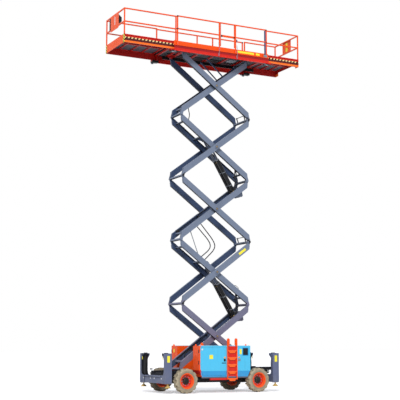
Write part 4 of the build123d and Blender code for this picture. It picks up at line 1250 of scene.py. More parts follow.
@dataclass
class RunningGear(Assembly):
    """Chassis, axles, steering and wheels."""

    nuts: int = 9
    nut_circle: float = 0.150
    cap_bolts: int = 6
    cap_circle: float = 0.084
    disc_in: float = 0.126          # from a wheel's outer face in to its disc
    hub_in: float = 0.070           # from a wheel's outer face in to its hub cap
    hub_radius: float = 0.128       # of the black hub
    dish_radius: float = 0.205      # of the red dish
    far_shade_dust: float = 0.55          # share of dust on the right-hand tyres, lowered to darken them as painted shade

    def build(self) -> None:
        """Dresses the running gear and adds its small parts."""
        self.axle = Paint("axle_enamel", Chart.BLACK, roughness=0.6, dust_top=0.6, dust=0.08, coat=0.0)
        far_side = (Zone(Chart.RED, low=(None, 1.0, None)),)
        for finish, nodes in (
            # Chassis and box supports are near-black: dark paint, partly painted shade.
            (Paint("chassis_enamel", Chart.CHASSIS_IN_SHADE, roughness=0.6, dust_top=0.7, dust=0.06, coat=0.0),
             ("chassis_frame",)),
            (Paint("support_enamel", Chart.CHASSIS_IN_SHADE, zones=far_side, roughness=0.5, dust_top=1.0, dust=0.1),
             ("box_supports",)),
            (self.axle, ("front_axle", "rear_axle", "knuckle_left", "knuckle_right", "tie_rod")),
            (Paint("engine_enamel", Chart.STEEL, roughness=0.6), ("engine_block",)),
        ):
            self.dress(finish, *nodes)
        for end in ENDS:
            for side, way in SIDES.items():
                self.wheel(f"{end}_{side}", way)
        self.chassis_parts()
        self.engine_parts()

    def wheel(self, place: str, way: float) -> None:
        """One wheel with its rim colours, nuts, hub cap and valve.

        Args:
            place: the wheel's end and side.
            way: 1 on the machine's left, -1 on its right.
        """
        low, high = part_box(f"tyre_{place}")
        centre = (low + high) / 2
        # Painted shade: the right-hand tyres get less dust, so they are darker.
        dust = 1.0 if way > 0 else self.far_shade_dust
        tyre = Rubber(f"rubber_{place}", Chart.RUBBER, (high.z - low.z) / 2, centre.x, centre.z, dust)
        self.dress(tyre, f"tyre_{place}")
        self.dress(RimPaint(f"rim_enamel_{place}", Chart.BLACK, centre.x, centre.z, self.hub_radius,
                            self.dish_radius), f"rim_{place}")
        face = max(abs(low.y), abs(high.y))
        disc, hub = way * (face - self.disc_in), way * (face - self.hub_in)
        nuts = Shape()
        for x, z in around(centre, self.nut_circle, self.nuts):
            nuts.bolt((x, disc, z), (0, way * 0.016, 0), 0.017)
            nuts.rod((x, disc, z), (x, disc + way * 0.030, z), 0.009, sides=8)
        cap = Shape().turned(HUB_CAP, (centre.x, hub, centre.z), (0, way, 0))
        for x, z in around(centre, self.cap_circle, self.cap_bolts):
            cap.bolt((x, hub, z), (0, way * 0.010, 0), 0.008)
        valve = Shape()
        foot = Vector((centre.x + 0.19, disc + way * 0.01, centre.z + 0.02))
        valve.rod(foot, foot + Vector((0.012, way * 0.045, 0)), 0.005, sides=8)
        metal = BareMetal(f"nut_metal_{place}", Chart.NUT, roughness=0.45)
        for name, shape, finish in (
            ("wheel_nuts", nuts, metal), ("hub_cap", cap, self.axle), ("valve", valve, self.axle),
        ):
            shape.piece(f"{name}_{place}", finish, f"wheel_{place}", "black_steel")

    def chassis_parts(self) -> None:
        """Bolt rows, hoses to the front axle and towing eyes."""
        low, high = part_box("chassis_frame")
        bolts = Shape()
        for x in evenly(low.x + 0.35, high.x - 0.35, 16):
            bolts.bolt((x, high.y - 0.002, 0.60), (0, 0.014, 0), 0.013)
        zinc = BareMetal("bolt_zinc", Chart.NUT, roughness=0.45)
        bolts.mirrored().piece("chassis_bolts", zinc, "chassis", "black_steel")
        axle_low, axle_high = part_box("front_axle")
        rear, top = axle_low.x, axle_high.z
        routes = [
            [(rear - 0.02, y, top - 0.05), (rear - 0.10, y, top + 0.05), (rear - 0.28, y * 1.3, top + 0.07),
             (rear - 0.42, y * 1.5, 0.56)]
            for y in (0.14, 0.18, -0.16)
        ]
        hose("axle_hoses", routes, 0.012, self.axle, "chassis")
        eyes = Shape()
        for x in (low.x + 0.01, high.x - 0.01):
            eyes.turned(ring(0.022, 0.046, -0.009, 0.009), (x, 0.30, 0.70), (0, 1, 0))
        eyes.mirrored().piece("towing_eyes", self.axle, "chassis", "black_steel")

    def engine_parts(self) -> None:
        """Cylinder head cover, ribs, filter and belt wheel on the engine in the right-hand box."""
        low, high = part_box("engine_block")
        head = Shape()
        head.box((low.x + 0.10, low.y + 0.07, high.z - 0.01), (high.x - 0.10, high.y - 0.07, high.z + 0.07),
                 0.02, steps=3)
        for x in evenly(low.x + 0.14, high.x - 0.14, 7):
            head.box((x, low.y - 0.014, low.z + 0.12), (x + 0.014, low.y + 0.01, high.z - 0.10), 0.003)
        alloy = BareMetal("engine_alloy", Chart.STEEL, roughness=0.5, metallic=0.7)
        head.piece("engine_head_cover", alloy, "chassis", "cast")
        wheel = Shape().turned(BELT_WHEEL, (low.x - 0.001, (low.y + high.y) / 2, low.z + 0.30), (-1, 0, 0))
        x, y = high.x - 0.22, low.y + 0.06
        wheel.rod((x, y, high.z - 0.02), (x, y, high.z + 0.12), 0.045)
        wheel.piece("engine_belt_wheel", self.axle, "chassis", "black_steel")


@dataclass
class Outriggers(Assembly):
    """Cross beams, columns, legs and their cylinders."""

    def build(self) -> None:
        """Dresses the outriggers and adds labels, brackets, tubes and bolts."""
        # Painted shade: the outriggers' faces that look down or inward, the inside of the column channels, are
        # near-black.
        dark = (Zone(Chart.ARM_UNDER_SHADE, under=True), Zone(Chart.ARM_UNDER_SHADE, inward=True))
        foot = (Zone(Chart.BRASS, high=(None, None, 0.325)),)
        self.steel = Paint("outrigger_enamel", Chart.OUTRIGGER, zones=dark, roughness=0.5, dust_top=0.9, dust=0.2,
                           coat=0.03)
        leg = Paint("leg_enamel", Chart.OUTRIGGER, zones=foot, roughness=0.55, dust_top=0.5, dust=0.2, coat=0.0)
        self.black = Paint("leg_barrel_enamel", Chart.BLACK, roughness=0.42)
        self.dress(self.steel, "outrigger_frames", "outrigger_beams")
        self.dress(self.black, "outrigger_cylinders")
        for end, way in ENDS.items():
            self.dress(leg, *(f"outrigger_leg_{end}_{side}" for side in SIDES))
            low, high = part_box(f"outrigger_leg_{end}_left")
            x = (low.x + high.x) / 2
            self.column_parts(end, x, way)
            self.beam_parts(end, way)
            hose(f"leg_hoses_{end}", [
                [(x, side * 0.775, 1.20), (x, side * 0.72, 1.15), (x, side * 0.70, 0.95), (x, side * 0.73, 0.72),
                 (x, side * 0.70, 0.61)]
                for side in (-1, 1)
            ], 0.011, self.black, "chassis")
            self.stays(end, x - way * 0.125, way)

    def column_parts(self, end: str, x: float, way: float) -> None:
        """Blank labels and pin bosses on one pair of columns.

        Args:
            end: front or rear.
            x: the columns' place.
            way: 1 at the front, -1 at the rear.
        """
        low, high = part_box("outrigger_frames")
        face = high.x - 0.008 if way > 0 else low.x + 0.008
        labels = Shape()
        labels.box((face, 0.82, 1.14), (face + way * 0.002, 0.86, 1.24))
        labels.box((x - 0.05, high.y, 1.05), (x + 0.05, high.y + 0.002, 1.27))
        film = Moulding(f"outrigger_label_{end}", Chart.LABEL, roughness=0.5)
        labels.mirrored().piece(f"outrigger_labels_{end}", film, "chassis", "outrigger_paint")
        boss = Shape()
        boss.turned(LEG_PIN_BOSS, (face + way * 0.001, 0.848, high.z - 0.045), (way, 0, 0))
        boss.box((x - 0.06, 0.80, high.z - 0.004), (x + 0.06, 0.90, high.z + 0.02), 0.008)
        boss.mirrored().piece(f"leg_pin_bosses_{end}", self.black, "chassis", "black_steel")

    def beam_parts(self, end: str, way: float) -> None:
        """Bolts and hydraulic bar on the outer face of one cross beam.

        Args:
            end: front or rear.
            way: 1 at the front, -1 at the rear.
        """
        low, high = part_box("outrigger_beams")
        face = high.x if way > 0 else low.x
        z = high.z - 0.10
        bolts = Shape()
        for y in (0.16, 0.74):
            bolts.rod((face - way * 0.002, y, z), (face + way * 0.016, y, z), 0.030, sides=6)
            bolts.rod((face, y, z), (face + way * 0.026, y, z), 0.016, sides=12)
        zinc = BareMetal(f"beam_bolt_zinc_{end}", Chart.PALE, roughness=0.4)
        bolts.mirrored().piece(f"beam_bolts_{end}", zinc, "chassis", "black_steel")
        bar = Shape()
        bar.rod((face + way * 0.012, -0.70, z + 0.065), (face + way * 0.012, 0.70, z + 0.065), 0.022)
        for y in (-0.68, -0.3, 0.3, 0.68):
            bar.box((face - way * 0.02, y - 0.02, z + 0.035), (face + way * 0.036, y + 0.02, z + 0.095), 0.004)
        bar.piece(f"hydraulic_bar_{end}", self.steel, "chassis", "outrigger_paint")

    def stays(self, end: str, x: float, way: float) -> None:
        """Black stays between one pair of columns and the chassis.

        Args:
            end: front or rear.
            x: the columns' inner face.
            way: 1 at the front, -1 at the rear.
        """
        stay = Shape()
        for z in (0.66, 0.80):
            stay.box((x, 0.70, z - 0.02), (x - way * 0.085, 0.77, z + 0.02), 0.006)
        stay.mirrored().piece(f"column_stays_{end}", self.black, "chassis", "black_steel")


@dataclass
class SideBoxes(Assembly):
    """Side boxes with doors, beacons, latches, windows and blank labels."""

    face: float = 1.10              # of the side walls from the middle plane
    film_thick: float = 0.002       # of a label
    handle_x: float = 0.03          # from a door's rear edge to its latch
    window_low: tuple[float, float] = (0.10, 1.29)      # from the box's rear, and height
    window_high: tuple[float, float] = (0.30, 1.53)

    def build(self) -> None:
        """Dresses the boxes and adds their fittings."""
        self.black = Moulding("box_fitting_plastic", Chart.BLACK, roughness=0.4)
        self.film = Moulding("box_label_film", Chart.LABEL, roughness=0.5)
        self.dress(Moulding("beacon_lens", Chart.AMBER, roughness=0.22), "beacons")
        for side in SIDES:
            self.paints(side)
        for side, way in SIDES.items():
            self.door_parts(side, way)
        for side, way in SIDES.items():
            self.window(side, way)
            self.panel_parts(side, way)
        self.wall_parts()

    def paints(self, side: str) -> None:
        """Dresses one box and its door.

        Args:
            side: left or right.
        """
        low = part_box(f"side_box_{side}")[0]
        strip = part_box(f"side_box_door_{side}")[1].x - 0.05
        band = low.z + 0.2
        zones = (
            Zone(Chart.SKY, high=(strip, None, None), outward=True),
            Zone(Chart.SKY, high=(low.x + 0.02, None, None)),
            Zone(Chart.SKY_BAND, high=(strip, None, band), outward=True),
            Zone(Chart.RED, low=(strip, None, None), high=(None, None, low.z + 0.225)),
        )
        self.dress(Paint(f"box_enamel_{side}", Chart.ORANGE, zones=zones, dust_top=1.2, dust=0.12, coat=0.03),
                   f"side_box_{side}")
        zones = (Zone(Chart.SKY_BAND, high=(None, None, band)),)
        self.dress(Paint(f"door_enamel_{side}", Chart.SKY, zones=zones, dust_top=1.1, dust=0.1, coat=0.03),
                   f"side_box_door_{side}")

    def door_parts(self, side: str, way: float) -> None:
        """Latch, knob, blank label, pale stop and ribs of one door.

        Args:
            side: left or right.
            way: 1 on the machine's left, -1 on its right.
        """
        low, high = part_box("side_box_door_left")
        face, x = self.face, low.x + self.handle_x
        middle = (low.x + high.x) / 2 + 0.07
        latch, label, ribs = Shape(), Shape(), Shape()
        latch.tile(way, face, (x, 1.08), (x + 0.07, 1.16), 0.022, 0.008)
        latch.rod((x + 0.035, way * face, 1.12), (x + 0.035, way * (face + 0.035), 1.12), 0.020)
        latch.tile(way, face, (x - 0.02, 1.01), (x + 0.15, 1.03), 0.016, 0.006)
        knob = Shape().dome_out((x + 0.03, way * (face + 0.001), 1.205), 0.034, 0.018, way)
        label.tile(way, face, (middle - 0.07, 1.16), (middle + 0.07, 1.30), self.film_thick)
        stop = Shape().dome_out((high.x - 0.10, way * (face + 0.001), high.z - 0.08), 0.030, 0.010, way)
        for z in (low.z + 0.30, high.z - 0.05):
            ribs.tile(way, face - 0.024, (low.x + 0.05, z - 0.012), (high.x - 0.08, z + 0.012), 0.006, 0.003)
        for name, shape, finish, slot in (
            ("latch", latch, self.black, "black_steel"),
            ("knob", knob, Moulding(f"knob_lacquer_{side}", Chart.KNOB), "orange_paint"),
            ("label", label, self.film, "blue_paint"),
            ("stop", stop, Moulding(f"stop_plastic_{side}", Chart.PALE), "blue_paint"),
            ("ribs", ribs, self.black, "black_steel"),
        ):
            shape.piece(f"door_{name}_{side}", finish, f"side_box_door_{side}", slot)

    def window(self, side: str, way: float) -> None:
        """Window and its frame on one box's fixed rear panel.

        Args:
            side: left or right.
            way: 1 on the machine's left, -1 on its right.
        """
        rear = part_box("side_box_left")[0].x
        x0, z0 = rear + self.window_low[0], self.window_low[1]
        x1, z1 = rear + self.window_high[0], self.window_high[1]
        rim = Shape()
        for low, high in (
            ((x0 - 0.02, z0 - 0.02), (x1 + 0.02, z0)), ((x0 - 0.02, z1), (x1 + 0.02, z1 + 0.02)),
            ((x0 - 0.02, z0), (x0, z1)), ((x1, z0), (x1 + 0.02, z1)),
        ):
            rim.tile(way, self.face, low, high, 0.010, 0.003)
        enamel = Paint(f"window_frame_enamel_{side}", Chart.SKY_BAND)
        rim.piece(f"window_frame_{side}", enamel, "chassis", "blue_paint")
        pane = Shape().tile(way, self.face - 0.001, (x0, z0), (x1, z1), 0.005, 0.001)
        glass = Moulding(f"dark_glass_{side}", Chart.GLASS, roughness=0.08)
        pane.piece(f"window_pane_{side}", glass, "chassis", "control_plastic")

    def panel_parts(self, side: str, way: float) -> None:
        """Blank label, knob and patch beside one box's window.

        Args:
            side: left or right.
            way: 1 on the machine's left, -1 on its right.
        """
        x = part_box("side_box_left")[0].x + self.window_high[0]
        z0, z1 = self.window_low[1] + 0.03, self.window_high[1] - 0.03
        label = Shape().tile(way, self.face, (x + 0.05, z0), (x + 0.13, z1), self.film_thick)
        knob = Shape().dome_out((x + 0.15, way * (self.face + 0.001), 1.21), 0.034, 0.018, way)
        patch = Shape().tile(way, self.face, (x + 0.10, 1.08), (x + 0.20, 1.16), 0.008, 0.003)
        for name, shape, finish, slot in (
            ("label", label, self.film, "blue_paint"),
            ("knob", knob, Moulding(f"panel_knob_lacquer_{side}", Chart.KNOB), "orange_paint"),
            ("patch", patch, Paint(f"patch_enamel_{side}", Chart.STEEL), "blue_paint"),
        ):
            shape.piece(f"panel_{name}_{side}", finish, "chassis", slot)

    def wall_parts(self) -> None:
        """Hinge leaves and a blank label on the front walls, light trims on top and grey sills below."""
        low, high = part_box("side_box_left")
        wall = high.x
        leaves = Shape()
        for z in (0.98, 1.36):
            leaves.box((wall - 0.001, 1.04, z), (wall + 0.007, 1.099, z + 0.12), 0.003)
            for rise in (0.025, 0.095):
                leaves.bolt((wall + 0.006, 1.065, z + rise), (0.007, 0, 0), 0.010)
        label = Shape().box((wall, -0.93, 1.38), (wall + self.film_thick, -0.85, 1.50))
        trim, sill = Shape(), Shape()
        trim.box((low.x + 0.02, 1.076, high.z - 0.001), (wall - 0.01, 1.1, high.z + 0.012), 0.005)
        sill.box((low.x + 0.10, 1.04, low.z - 0.045), (wall - 0.10, 1.098, low.z - 0.0005), 0.008)
        for name, shape, finish, slot in (
            ("box_hinge_leaves", leaves.mirrored(), self.black, "black_steel"),
            ("far_box_label", label, self.film, "orange_paint"),
            ("box_top_trims", trim.mirrored(), Paint("trim_enamel", Chart.SKY_PALE), "blue_paint"),
            ("box_sills", sill.mirrored(), Paint("sill_enamel", Chart.SILL, roughness=0.5), "chassis_paint"),
        ):
            shape.piece(name, finish, "chassis", slot)


@dataclass
class Ladder(Assembly):
    """Entry ladder."""

    pitch: float = 0.24
    steps: int = 5
    stile: float = 0.031            # width of a stile's orange face

    def build(self) -> None:
        """Dresses the ladder: orange stiles and steps over a red back, and adds treads and grips."""
        low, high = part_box("ladder")
        back = Zone(Chart.RED, high=(None, low.y + 0.008, None), either_side=False)
        steps = Zone(Chart.LADDER_STEP, low=(low.x + self.stile, low.y + 0.009, None),
                     high=(high.x - self.stile, None, 1.62), either_side=False)
        self.dress(Paint("ladder_enamel", Chart.ORANGE, zones=(back, steps), dust_top=1.2, dust=0.1, coat=0.03),
                   "ladder")
        lugs, noses, grips = Shape(), Shape(), Shape()
        for count in range(self.steps):
            z = low.z + 0.02 + count * self.pitch
            for x in evenly(low.x + 0.06, high.x - 0.06, 5):
                lugs.box((x - 0.022, high.y - 0.012, z + 0.029), (x + 0.022, high.y - 0.004, z + 0.035), 0.002)
        for count in range(self.steps):
            top = low.z + 0.045 + count * self.pitch
            for inset, drop in ((0.052, 0.0), (0.085, 0.045)):
                noses.box((low.x + inset, high.y - 0.014, top - drop - 0.05),
                          (high.x - inset, high.y - 0.003, top - drop), 0.004)
        for x in (low.x + 0.046, high.x - 0.046):
            grips.box((x - 0.030, high.y - 0.004, 1.68), (x + 0.030, high.y + 0.0015, 1.80), 0.001)
        for name, shape, finish, slot in (
            ("tread_lugs", lugs, BareMetal("tread_steel", Chart.STEEL, roughness=0.5), "red_paint"),
            ("step_noses", noses, Paint("step_nose_enamel", Chart.LADDER_STEP, coat=0.03), "orange_paint"),
            ("grip_pads", grips, Moulding("grip_rubber", Chart.ORANGE, roughness=0.6), "orange_paint"),
        ):
            shape.piece(f"ladder_{name}", finish, "chassis", slot)


@dataclass
class Platform(Assembly):
    """Main deck, roll-out decks, guardrails and gate."""

    rail_y: float = 0.895           # middle of the side rails
    rail_half: float = 0.02
    duct_y: float = 0.9135          # outer limit of the blue ducts behind the posts
    beam_depth: float = 0.22
    rail_rise: float = 1.09
    mid_share: float = 0.57         # of the rail height, where the middle rail stands
    flange: float = 0.022           # depth of a rolled flange
    skin: float = 0.0005            # keeps a colour's edge off the next face

    def build(self) -> None:
        """Dresses the platform and adds its fittings."""
        deck_low, deck_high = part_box("main_deck")
        rails_low, rails_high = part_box("main_rails")
        self.side_y = deck_high.y
        self.deck_front, self.deck_rear = deck_high.x, deck_low.x
        self.rails_front, self.rails_rear = rails_high.x, rails_low.x
        self.top, self.beam_top = rails_high.z, rails_low.z
        self.beam_low = self.beam_top - self.beam_depth
        self.mid = self.beam_top + self.rail_rise * self.mid_share
        self.film = Moulding("deck_label_film", Chart.LABEL, roughness=0.5)
        self.black = Moulding("rail_fitting_plastic", Chart.BLACK, roughness=0.45)
        self.deck_paint()
        self.rail_paint()
        self.end_rail_paint()
        for end in ENDS:
            self.roll_out(end)
        self.flanges()
        self.post_parts()
        self.gate_parts()
        self.console()
        self.beam_parts()
        self.under_parts()

    def deck_paint(self) -> None:
        """Finishes of the main deck and its floor."""
        foot = self.beam_low + 0.05
        zones = (
            Zone(Chart.ORANGE, low=(None, 0.85, self.beam_top - 0.025)),
            Zone(Chart.DARK_RED, high=(None, self.side_y - 0.045, self.beam_top - 0.01)),
            # Painted shade: the upper band of the side beams, under the toe boards, is dark crimson.
            Zone(Chart.SHADED_CRIMSON, low=(None, self.side_y - 0.003, self.beam_low + 0.105),
                 high=(None, None, self.beam_top - 0.015)),
            Zone(Chart.BLACK, low=(self.deck_front - 0.36, 0.55, None), high=(None, None, foot), inward=True),
            Zone(Chart.BLACK, low=(None, 0.55, None), high=(self.deck_rear + 0.36, None, foot), inward=True),
            Zone(Chart.BLACK, low=(None, 0.575, None), high=(None, 0.63, self.beam_top - 0.02)),
            Zone(Chart.BLACK, high=(None, None, self.beam_low - self.skin)),
        )
        self.dress(Paint("deck_enamel", Chart.RED, zones=zones, roughness=0.45, coat=0.03), "main_deck")
        self.dress(FloorPlate("floor_plate", Chart.SATIN_BLACK), "deck_floor")

    def rail_paint(self) -> None:
        """Finish of the main guardrails and the gate, with blue ducts behind three posts."""
        rear = self.rails_rear + 2 * self.rail_half
        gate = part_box("gate")[0].x
        zones = tuple(
            Zone(Chart.DUCT_BLUE, low=(first, None, foot), high=(last, self.duct_y, head))
            for first, last, foot, head in (
                (rear + 0.001, rear + 0.052, None, self.top - 0.045),
                (gate - 0.10, gate - 0.05, self.mid - 0.2, self.mid - 0.05),
                (self.rails_front - 0.092, self.rails_front - 0.041, None, self.mid - 0.045),
            )
        )
        self.dress(Paint("rail_enamel", Chart.ORANGE, roughness=0.4, coat=0.03, zones=zones), "main_rails", "gate")

    def end_rail_paint(self) -> None:
        """Finishes of both roll-out guardrails, with a pale plate and two labels, and of the controls."""
        front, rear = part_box("front_extension_rails")[1].x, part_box("rear_extension_rails")[0].x
        plate = Zone(Chart.PALE, low=(front - 0.0055, -0.03, self.top - 0.40), high=(None, 0.03, self.top - 0.10),
                     either_side=False)
        labels = tuple(
            Zone(Chart.LABEL, low=(None, None, z), high=(rear + 0.007, 0.07, z + 0.15))
            for z in (self.top - 0.42, self.top - 0.22)
        )
        for end, zones in (("front", (plate,)), ("rear", labels)):
            paint = Paint(f"{end}_roll_out_rail_enamel", Chart.ORANGE, zones=zones, roughness=0.4, coat=0.03)
            self.dress(paint, f"{end}_extension_rails")
        self.dress(Moulding("control_moulding", Chart.SATIN_BLACK), "platform_controls")

    def roll_out(self, end: str) -> None:
        """Dresses one roll-out deck: orange lower flange, dashes on its side beams, chevrons at its corners.

        Args:
            end: front or rear.
        """
        low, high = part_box(f"{end}_extension")
        web, flange, dash_low, dash_high = high.y - 0.04, low.z + 0.085, low.z + 0.165, low.z + 0.215
        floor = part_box("deck_floor")[1].z + 0.05
        dashes = Zone(Chart.BLACK, low=(None, web, dash_low), high=(None, None, dash_high), outward=True)
        zones = [
            Zone(Chart.PLATE_GREY, low=(None, None, floor - self.skin),
                 high=(None, web - self.skin, floor + 0.0115)),
            # Painted shade: the recess of the side beam above its lower flange is near-black red.
            Zone(Chart.RECESS_SHADE_RED, low=(None, web, None), high=(None, None, low.z + 0.17), outward=True),
            Zone(Chart.FLANGE_ORANGE, low=(None, web, None), high=(None, None, flange), outward=True),
            Zone(Chart.RED, low=(None, web, dash_high)),
        ]
        stripes = [Stripes(Chart.BLACK, Chart.DASH, 0.135, dashes, slant=0.5)]
        if end == "front":
            face = high.x - 0.021
            zones.append(Zone(Chart.ORANGE, low=(face, None, low.z)))
            corner = Zone(Chart.BLACK, low=(face, high.y - 0.09, None))
            stripes.append(Stripes(Chart.BLACK, Chart.LABEL, 0.10, corner, along="Y", slant=1.0))
        else:
            zones.append(Zone(Chart.FLANGE_ORANGE, high=(low.x + 0.021, None, flange)))
        self.dress(Paint(f"{end}_deck_enamel", Chart.DARK_RED, zones=tuple(zones), stripes=tuple(stripes),
                         roughness=0.45, coat=0.03), f"{end}_extension")

    def flanges(self) -> None:
        """Rolled lower and upper flanges of the side beams."""
        red = Paint("flange_enamel", Chart.FLANGE_RED, coat=0.03)
        orange = Paint("upper_flange_enamel", Chart.ORANGE, coat=0.03)
        for name, z, finish, slot in (
            ("lower", self.beam_low, red, "red_paint"),
            ("upper", self.beam_top - self.flange, orange, "orange_paint"),
        ):
            shape = Shape().box((self.deck_rear + 0.24, self.side_y - 0.001, z),
                                (self.deck_front - 0.12, self.side_y + 0.018, z + self.flange), 0.004)
            shape.mirrored().piece(f"beam_{name}_flanges", finish, "platform", slot)

    def posts(self) -> tuple[float, ...]:
        """Places of the main deck's posts along X.

        Returns:
            Four places, front first.
        """
        gate_low, gate_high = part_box("gate")
        return (self.rails_front - self.rail_half, gate_high.x + 0.015, gate_low.x - 0.028,
                self.rails_rear + self.rail_half)

    def post_parts(self) -> None:
        """Post sockets with bolts, black clamps, and cables that hang by the gate posts."""
        y, foot = self.rail_y, self.beam_top
        sockets, bolts, clamps = Shape(), Shape(), Shape()
        for x in self.posts():
            sockets.box((x - 0.028, y - 0.026, foot), (x + 0.028, y + 0.026, foot + 0.11), 0.004)
            for rise in (0.07, 0.03):
                bolts.bolt((x, y + 0.022, foot + rise), (0, 0.012, 0), 0.011)
        front, gate_front, gate_rear, rear = self.posts()
        for x in (front, rear):
            for z in (self.top, self.mid + 0.002):
                clamps.box((x - 0.026, y - 0.025, z - 0.046), (x + 0.026, y + 0.025, z - 0.002), 0.004)
        for name, shape, finish, slot in (
            ("sockets", sockets, Paint("socket_enamel", Chart.ORANGE, coat=0.03), "orange_paint"),
            ("bolts", bolts, BareMetal("post_bolt_zinc", Chart.NUT, roughness=0.4), "black_steel"),
            ("clamps", clamps, self.black, "black_steel"),
        ):
            shape.mirrored().piece(f"post_{name}", finish, "platform", slot)
        y, low = self.side_y + 0.026, self.beam_low
        hose("lashing_hooks", [
            [(x, y - 0.02, foot + 0.30), (x, y, foot + 0.2), (x - 0.01, y + 0.004, foot),
             (x - 0.02, y, low + 0.05), (x, y, low + 0.01), (x + 0.03, y, low + 0.05), (x + 0.03, y, low + 0.13)]
            for x in (gate_front + 0.045, gate_rear - 0.045)
        ], 0.009, Moulding("hook_cable", Chart.CABLE, roughness=0.5), "platform")

    def gate_parts(self) -> None:
        """Black latch and stile strip on the gate."""
        low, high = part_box("gate")
        y, z = self.rail_y, self.mid
        latch, strip = Shape(), Shape()
        latch.box((high.x - 0.10, y - 0.027, z - 0.075), (high.x - 0.045, y + 0.027, z - 0.01), 0.006)
        latch.box((low.x + 0.005, y - 0.027, z - 0.065), (low.x + 0.06, y + 0.027, z - 0.015), 0.006)
        latch.rod((low.x + 0.03, y, z - 0.04), (low.x + 0.03, y - 0.055, z - 0.04), 0.012)
        latch.piece("gate_latch", self.black, "gate", "black_steel")
        strip.box((high.x - 0.044, y + 0.0145, low.z + 0.02), (high.x - 0.016, y + 0.018, high.z - 0.06), 0.001)
        strip.piece("gate_stile_strip", Moulding("stile_strip_film", Chart.STILE), "gate", "orange_paint")

    def console(self) -> None:
        """Joystick, buttons, stop button and socket box on the front roll-out deck."""
        low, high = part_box("platform_controls")
        y = (low.y + high.y) / 2
        face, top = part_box("front_extension_rails")[1].x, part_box("front_extension_rails")[1].z
        foot = Vector((high.x - 0.16, y - 0.08, high.z - 0.088))
        stick = Shape().turned(STICK_BOOT, foot).rod(foot, foot + Vector((0, 0, 0.05)), 0.008)
        stick.turned(STICK_GRIP, foot + Vector((0, 0, 0.04)))
        buttons = Shape()
        for k in range(4):
            buttons.turned(BUTTON, (high.x - 0.11, y + 0.02 + 0.036 * k, high.z - 0.052))
        stop = Shape().turned(STOP_BUTTON, (high.x - 0.13, y + 0.13, high.z - 0.066))
        box = Shape().box((face - 0.05, -0.52, top - 0.50), (face - 0.0005, -0.40, top - 0.05), 0.012)
        for name, shape, finish in (
            ("console_joystick", stick, self.black),
            ("console_buttons", buttons, Moulding("button_plastic", Chart.PALE)),
            ("console_stop_button", stop, Moulding("stop_button_plastic", Chart.RED, roughness=0.3)),
            ("end_rail_socket_box", box, self.black),
        ):
            shape.piece(name, finish, "front_extension", "control_plastic")

    def beam_parts(self) -> None:
        """Blank labels on the toe boards, base plate by the rear post, floor strips and end brackets."""
        labels, base, strips, plates = Shape(), Shape(), Shape(), Shape()
        board, foot = self.side_y - 0.041, self.beam_top
        for x0, x1 in ((-1.62, -0.92), (-1.86, -1.70)):
            labels.box((x0, board, foot + 0.045), (x1, board + 0.0025, foot + 0.125))
        x, y = self.posts()[-1], self.side_y
        base.box((x - 0.03, y - 0.004, foot + 0.005), (x + 0.12, y + 0.012, foot + 0.10), 0.004)
        low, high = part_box("deck_floor")
        y = high.y - 0.05
        strips.box((low.x + 0.02, y, high.z - self.skin), (high.x - 0.02, y + 0.03, high.z + 0.003), 0.001)
        for x, way in ((self.deck_front, 1.0), (self.deck_rear + 0.24, -1.0)):
            for reach, drop in ((0.20, 0.035), (0.12, 0.07)):
                plates.box((x - way * reach, self.side_y - 0.03, self.beam_low + 0.02),
                           (x - way * 0.02, self.side_y - 0.018, self.beam_low - drop), 0.004)
        for name, shape, finish, slot in (
            ("toe_board_labels", labels, self.film, "orange_paint"),
            ("rear_post_base", base, Paint("base_plate_enamel", Chart.STEEL), "orange_paint"),
            ("floor_edge_strips", strips, BareMetal("strip_steel", Chart.STEEL, roughness=0.4), "floor_steel"),
            ("beam_end_brackets", plates, Paint("bracket_enamel", Chart.STEEL), "red_paint"),
        ):
            shape.mirrored().piece(name, finish, "platform", slot)

    def under_parts(self) -> None:
        """Grey service boxes and hoses under the main deck."""
        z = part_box("deck_floor")[0].z
        box = Shape()
        box.box((-1.30, -0.16, z - 0.075), (-0.98, 0.16, z - 0.002), 0.01)
        box.box((0.25, 0.22, z - 0.06), (0.50, 0.44, z - 0.002), 0.01)
        enamel = Paint("service_box_enamel", Chart.STEEL, roughness=0.5)
        box.piece("under_deck_boxes", enamel, "platform", "black_steel")
        hose("under_deck_hoses", [
            [(self.deck_rear + 0.35, y, z - 0.015), (-0.6, y, z - 0.016), (0.6, y, z - 0.016),
             (self.deck_front - 0.4, y, z - 0.015)]
            for y in (-0.30, -0.33, 0.30)
        ], 0.012, self.black, "platform")


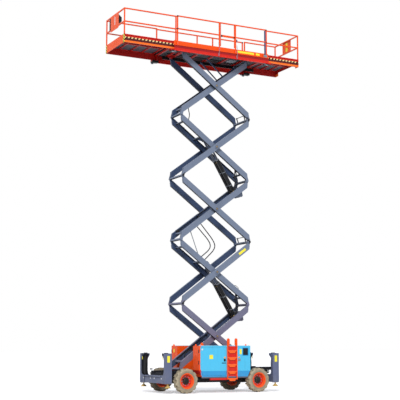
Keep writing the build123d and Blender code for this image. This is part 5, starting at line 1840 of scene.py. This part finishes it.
# ---------------------------------------------------------------- studio
@dataclass
class Studio:
    """Camera, floor, sky and one lamp."""

    position: tuple[float, float, float] = (17.004, 32.637, 1.619)
    azimuth: float = 152.74     # 0 looks along +Y, degrees
    rise: float = 8.124         # upward tilt, degrees
    lens: float = 91.8
    sensor: float = 36.0
    reach: float = 500.0        # how far the camera sees
    floor_size: float = 400.0
    sky_light: float = 0.55
    key_power: float = 2.05
    key_way: tuple[float, float, float] = (-0.42, -0.70, -0.58)
    key_spread: float = 12.0    # degrees across the lamp

    def build(self) -> None:
        """Builds the studio."""
        self.camera()
        self.floor()
        self.sky()
        self.key_lamp()
        bpy.context.scene.view_settings.view_transform = "Standard"

    def camera(self) -> None:
        """Camera at eye height in front of the machine's left side."""
        turn, rise = math.radians(self.azimuth), math.radians(self.rise)
        forward = Vector((-math.sin(turn) * math.cos(rise), math.cos(turn) * math.cos(rise), math.sin(rise)))
        data = bpy.data.cameras.new("camera")
        data.lens = self.lens
        data.sensor_width = self.sensor
        data.clip_end = self.reach
        eye = bpy.data.objects.new("camera", data)
        look = forward.to_track_quat("-Z", "Y").to_matrix().to_4x4()
        eye.matrix_world = Matrix.Translation(Vector(self.position)) @ look
        bpy.context.scene.collection.objects.link(eye)
        bpy.context.scene.camera = eye

    def floor(self) -> None:
        """Wide pale floor that keeps the machine's shadow and reads white to the eye."""
        mesh = bmesh.new()
        bmesh.ops.create_grid(mesh, x_segments=1, y_segments=1, size=self.floor_size / 2)
        data = bpy.data.meshes.new("floor")
        mesh.to_mesh(data)
        mesh.free()
        ground = bpy.data.objects.new("floor", data)
        bpy.context.scene.collection.objects.link(ground)
        board = Board("studio_floor")
        seen = board.node("ShaderNodeLightPath", {}, {}, "Is Camera Ray")
        board.shader.inputs["Emission Strength"].default_value = 1.0
        glow = board.mix(seen, (0.0, 0.0, 0.0), (0.38, 0.38, 0.39))
        data.materials.append(board.finish(Base_Color=(0.86, 0.86, 0.87), Roughness=0.95, Emission_Color=glow))

    def sky(self) -> None:
        """Even sky light, white where it is looked at."""
        world = bpy.data.worlds.new("studio_sky")
        bpy.context.scene.world = world
        world.use_nodes = True
        tree = world.node_tree
        tree.nodes.clear()
        paths = tree.nodes.new("ShaderNodeLightPath")
        seen = paths.outputs["Is Camera Ray"]
        for kind in ("Is Transmission Ray", "Is Glossy Ray"):
            either = tree.nodes.new("ShaderNodeMath")
            either.operation = "MAXIMUM"
            tree.links.new(seen, either.inputs[0])
            tree.links.new(paths.outputs[kind], either.inputs[1])
            seen = either.outputs[0]
        blend = tree.nodes.new("ShaderNodeMixShader")
        tree.links.new(seen, blend.inputs[0])
        for index, colour, strength in (
            (1, (0.93, 0.96, 1.0, 1.0), self.sky_light), (2, (1.0, 1.0, 1.0, 1.0), 1.0),
        ):
            light = tree.nodes.new("ShaderNodeBackground")
            light.inputs["Color"].default_value = colour
            light.inputs["Strength"].default_value = strength
            tree.links.new(light.outputs[0], blend.inputs[index])
        out = tree.nodes.new("ShaderNodeOutputWorld")
        tree.links.new(blend.outputs[0], out.inputs["Surface"])

    def key_lamp(self) -> None:
        """Soft lamp high on the camera's side."""
        data = bpy.data.lights.new("key_lamp", "SUN")
        data.energy = self.key_power
        data.angle = math.radians(self.key_spread)
        lamp = bpy.data.objects.new("key_lamp", data)
        lamp.rotation_euler = Vector(self.key_way).to_track_quat("-Z", "Y").to_euler()
        bpy.context.scene.collection.objects.link(lamp)


def main() -> None:
    """Builds the dressed machine and its studio."""
    logging.basicConfig(level=logging.INFO, format="%(message)s")
    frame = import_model()
    for assembly in (
        ScissorStack(frame), LiftCylinders(frame), RunningGear(frame), Outriggers(frame), SideBoxes(frame),
        Ladder(frame), Platform(frame),
    ):
        assembly.build()
    Studio().build()


if __name__ == "__main__":
    main()
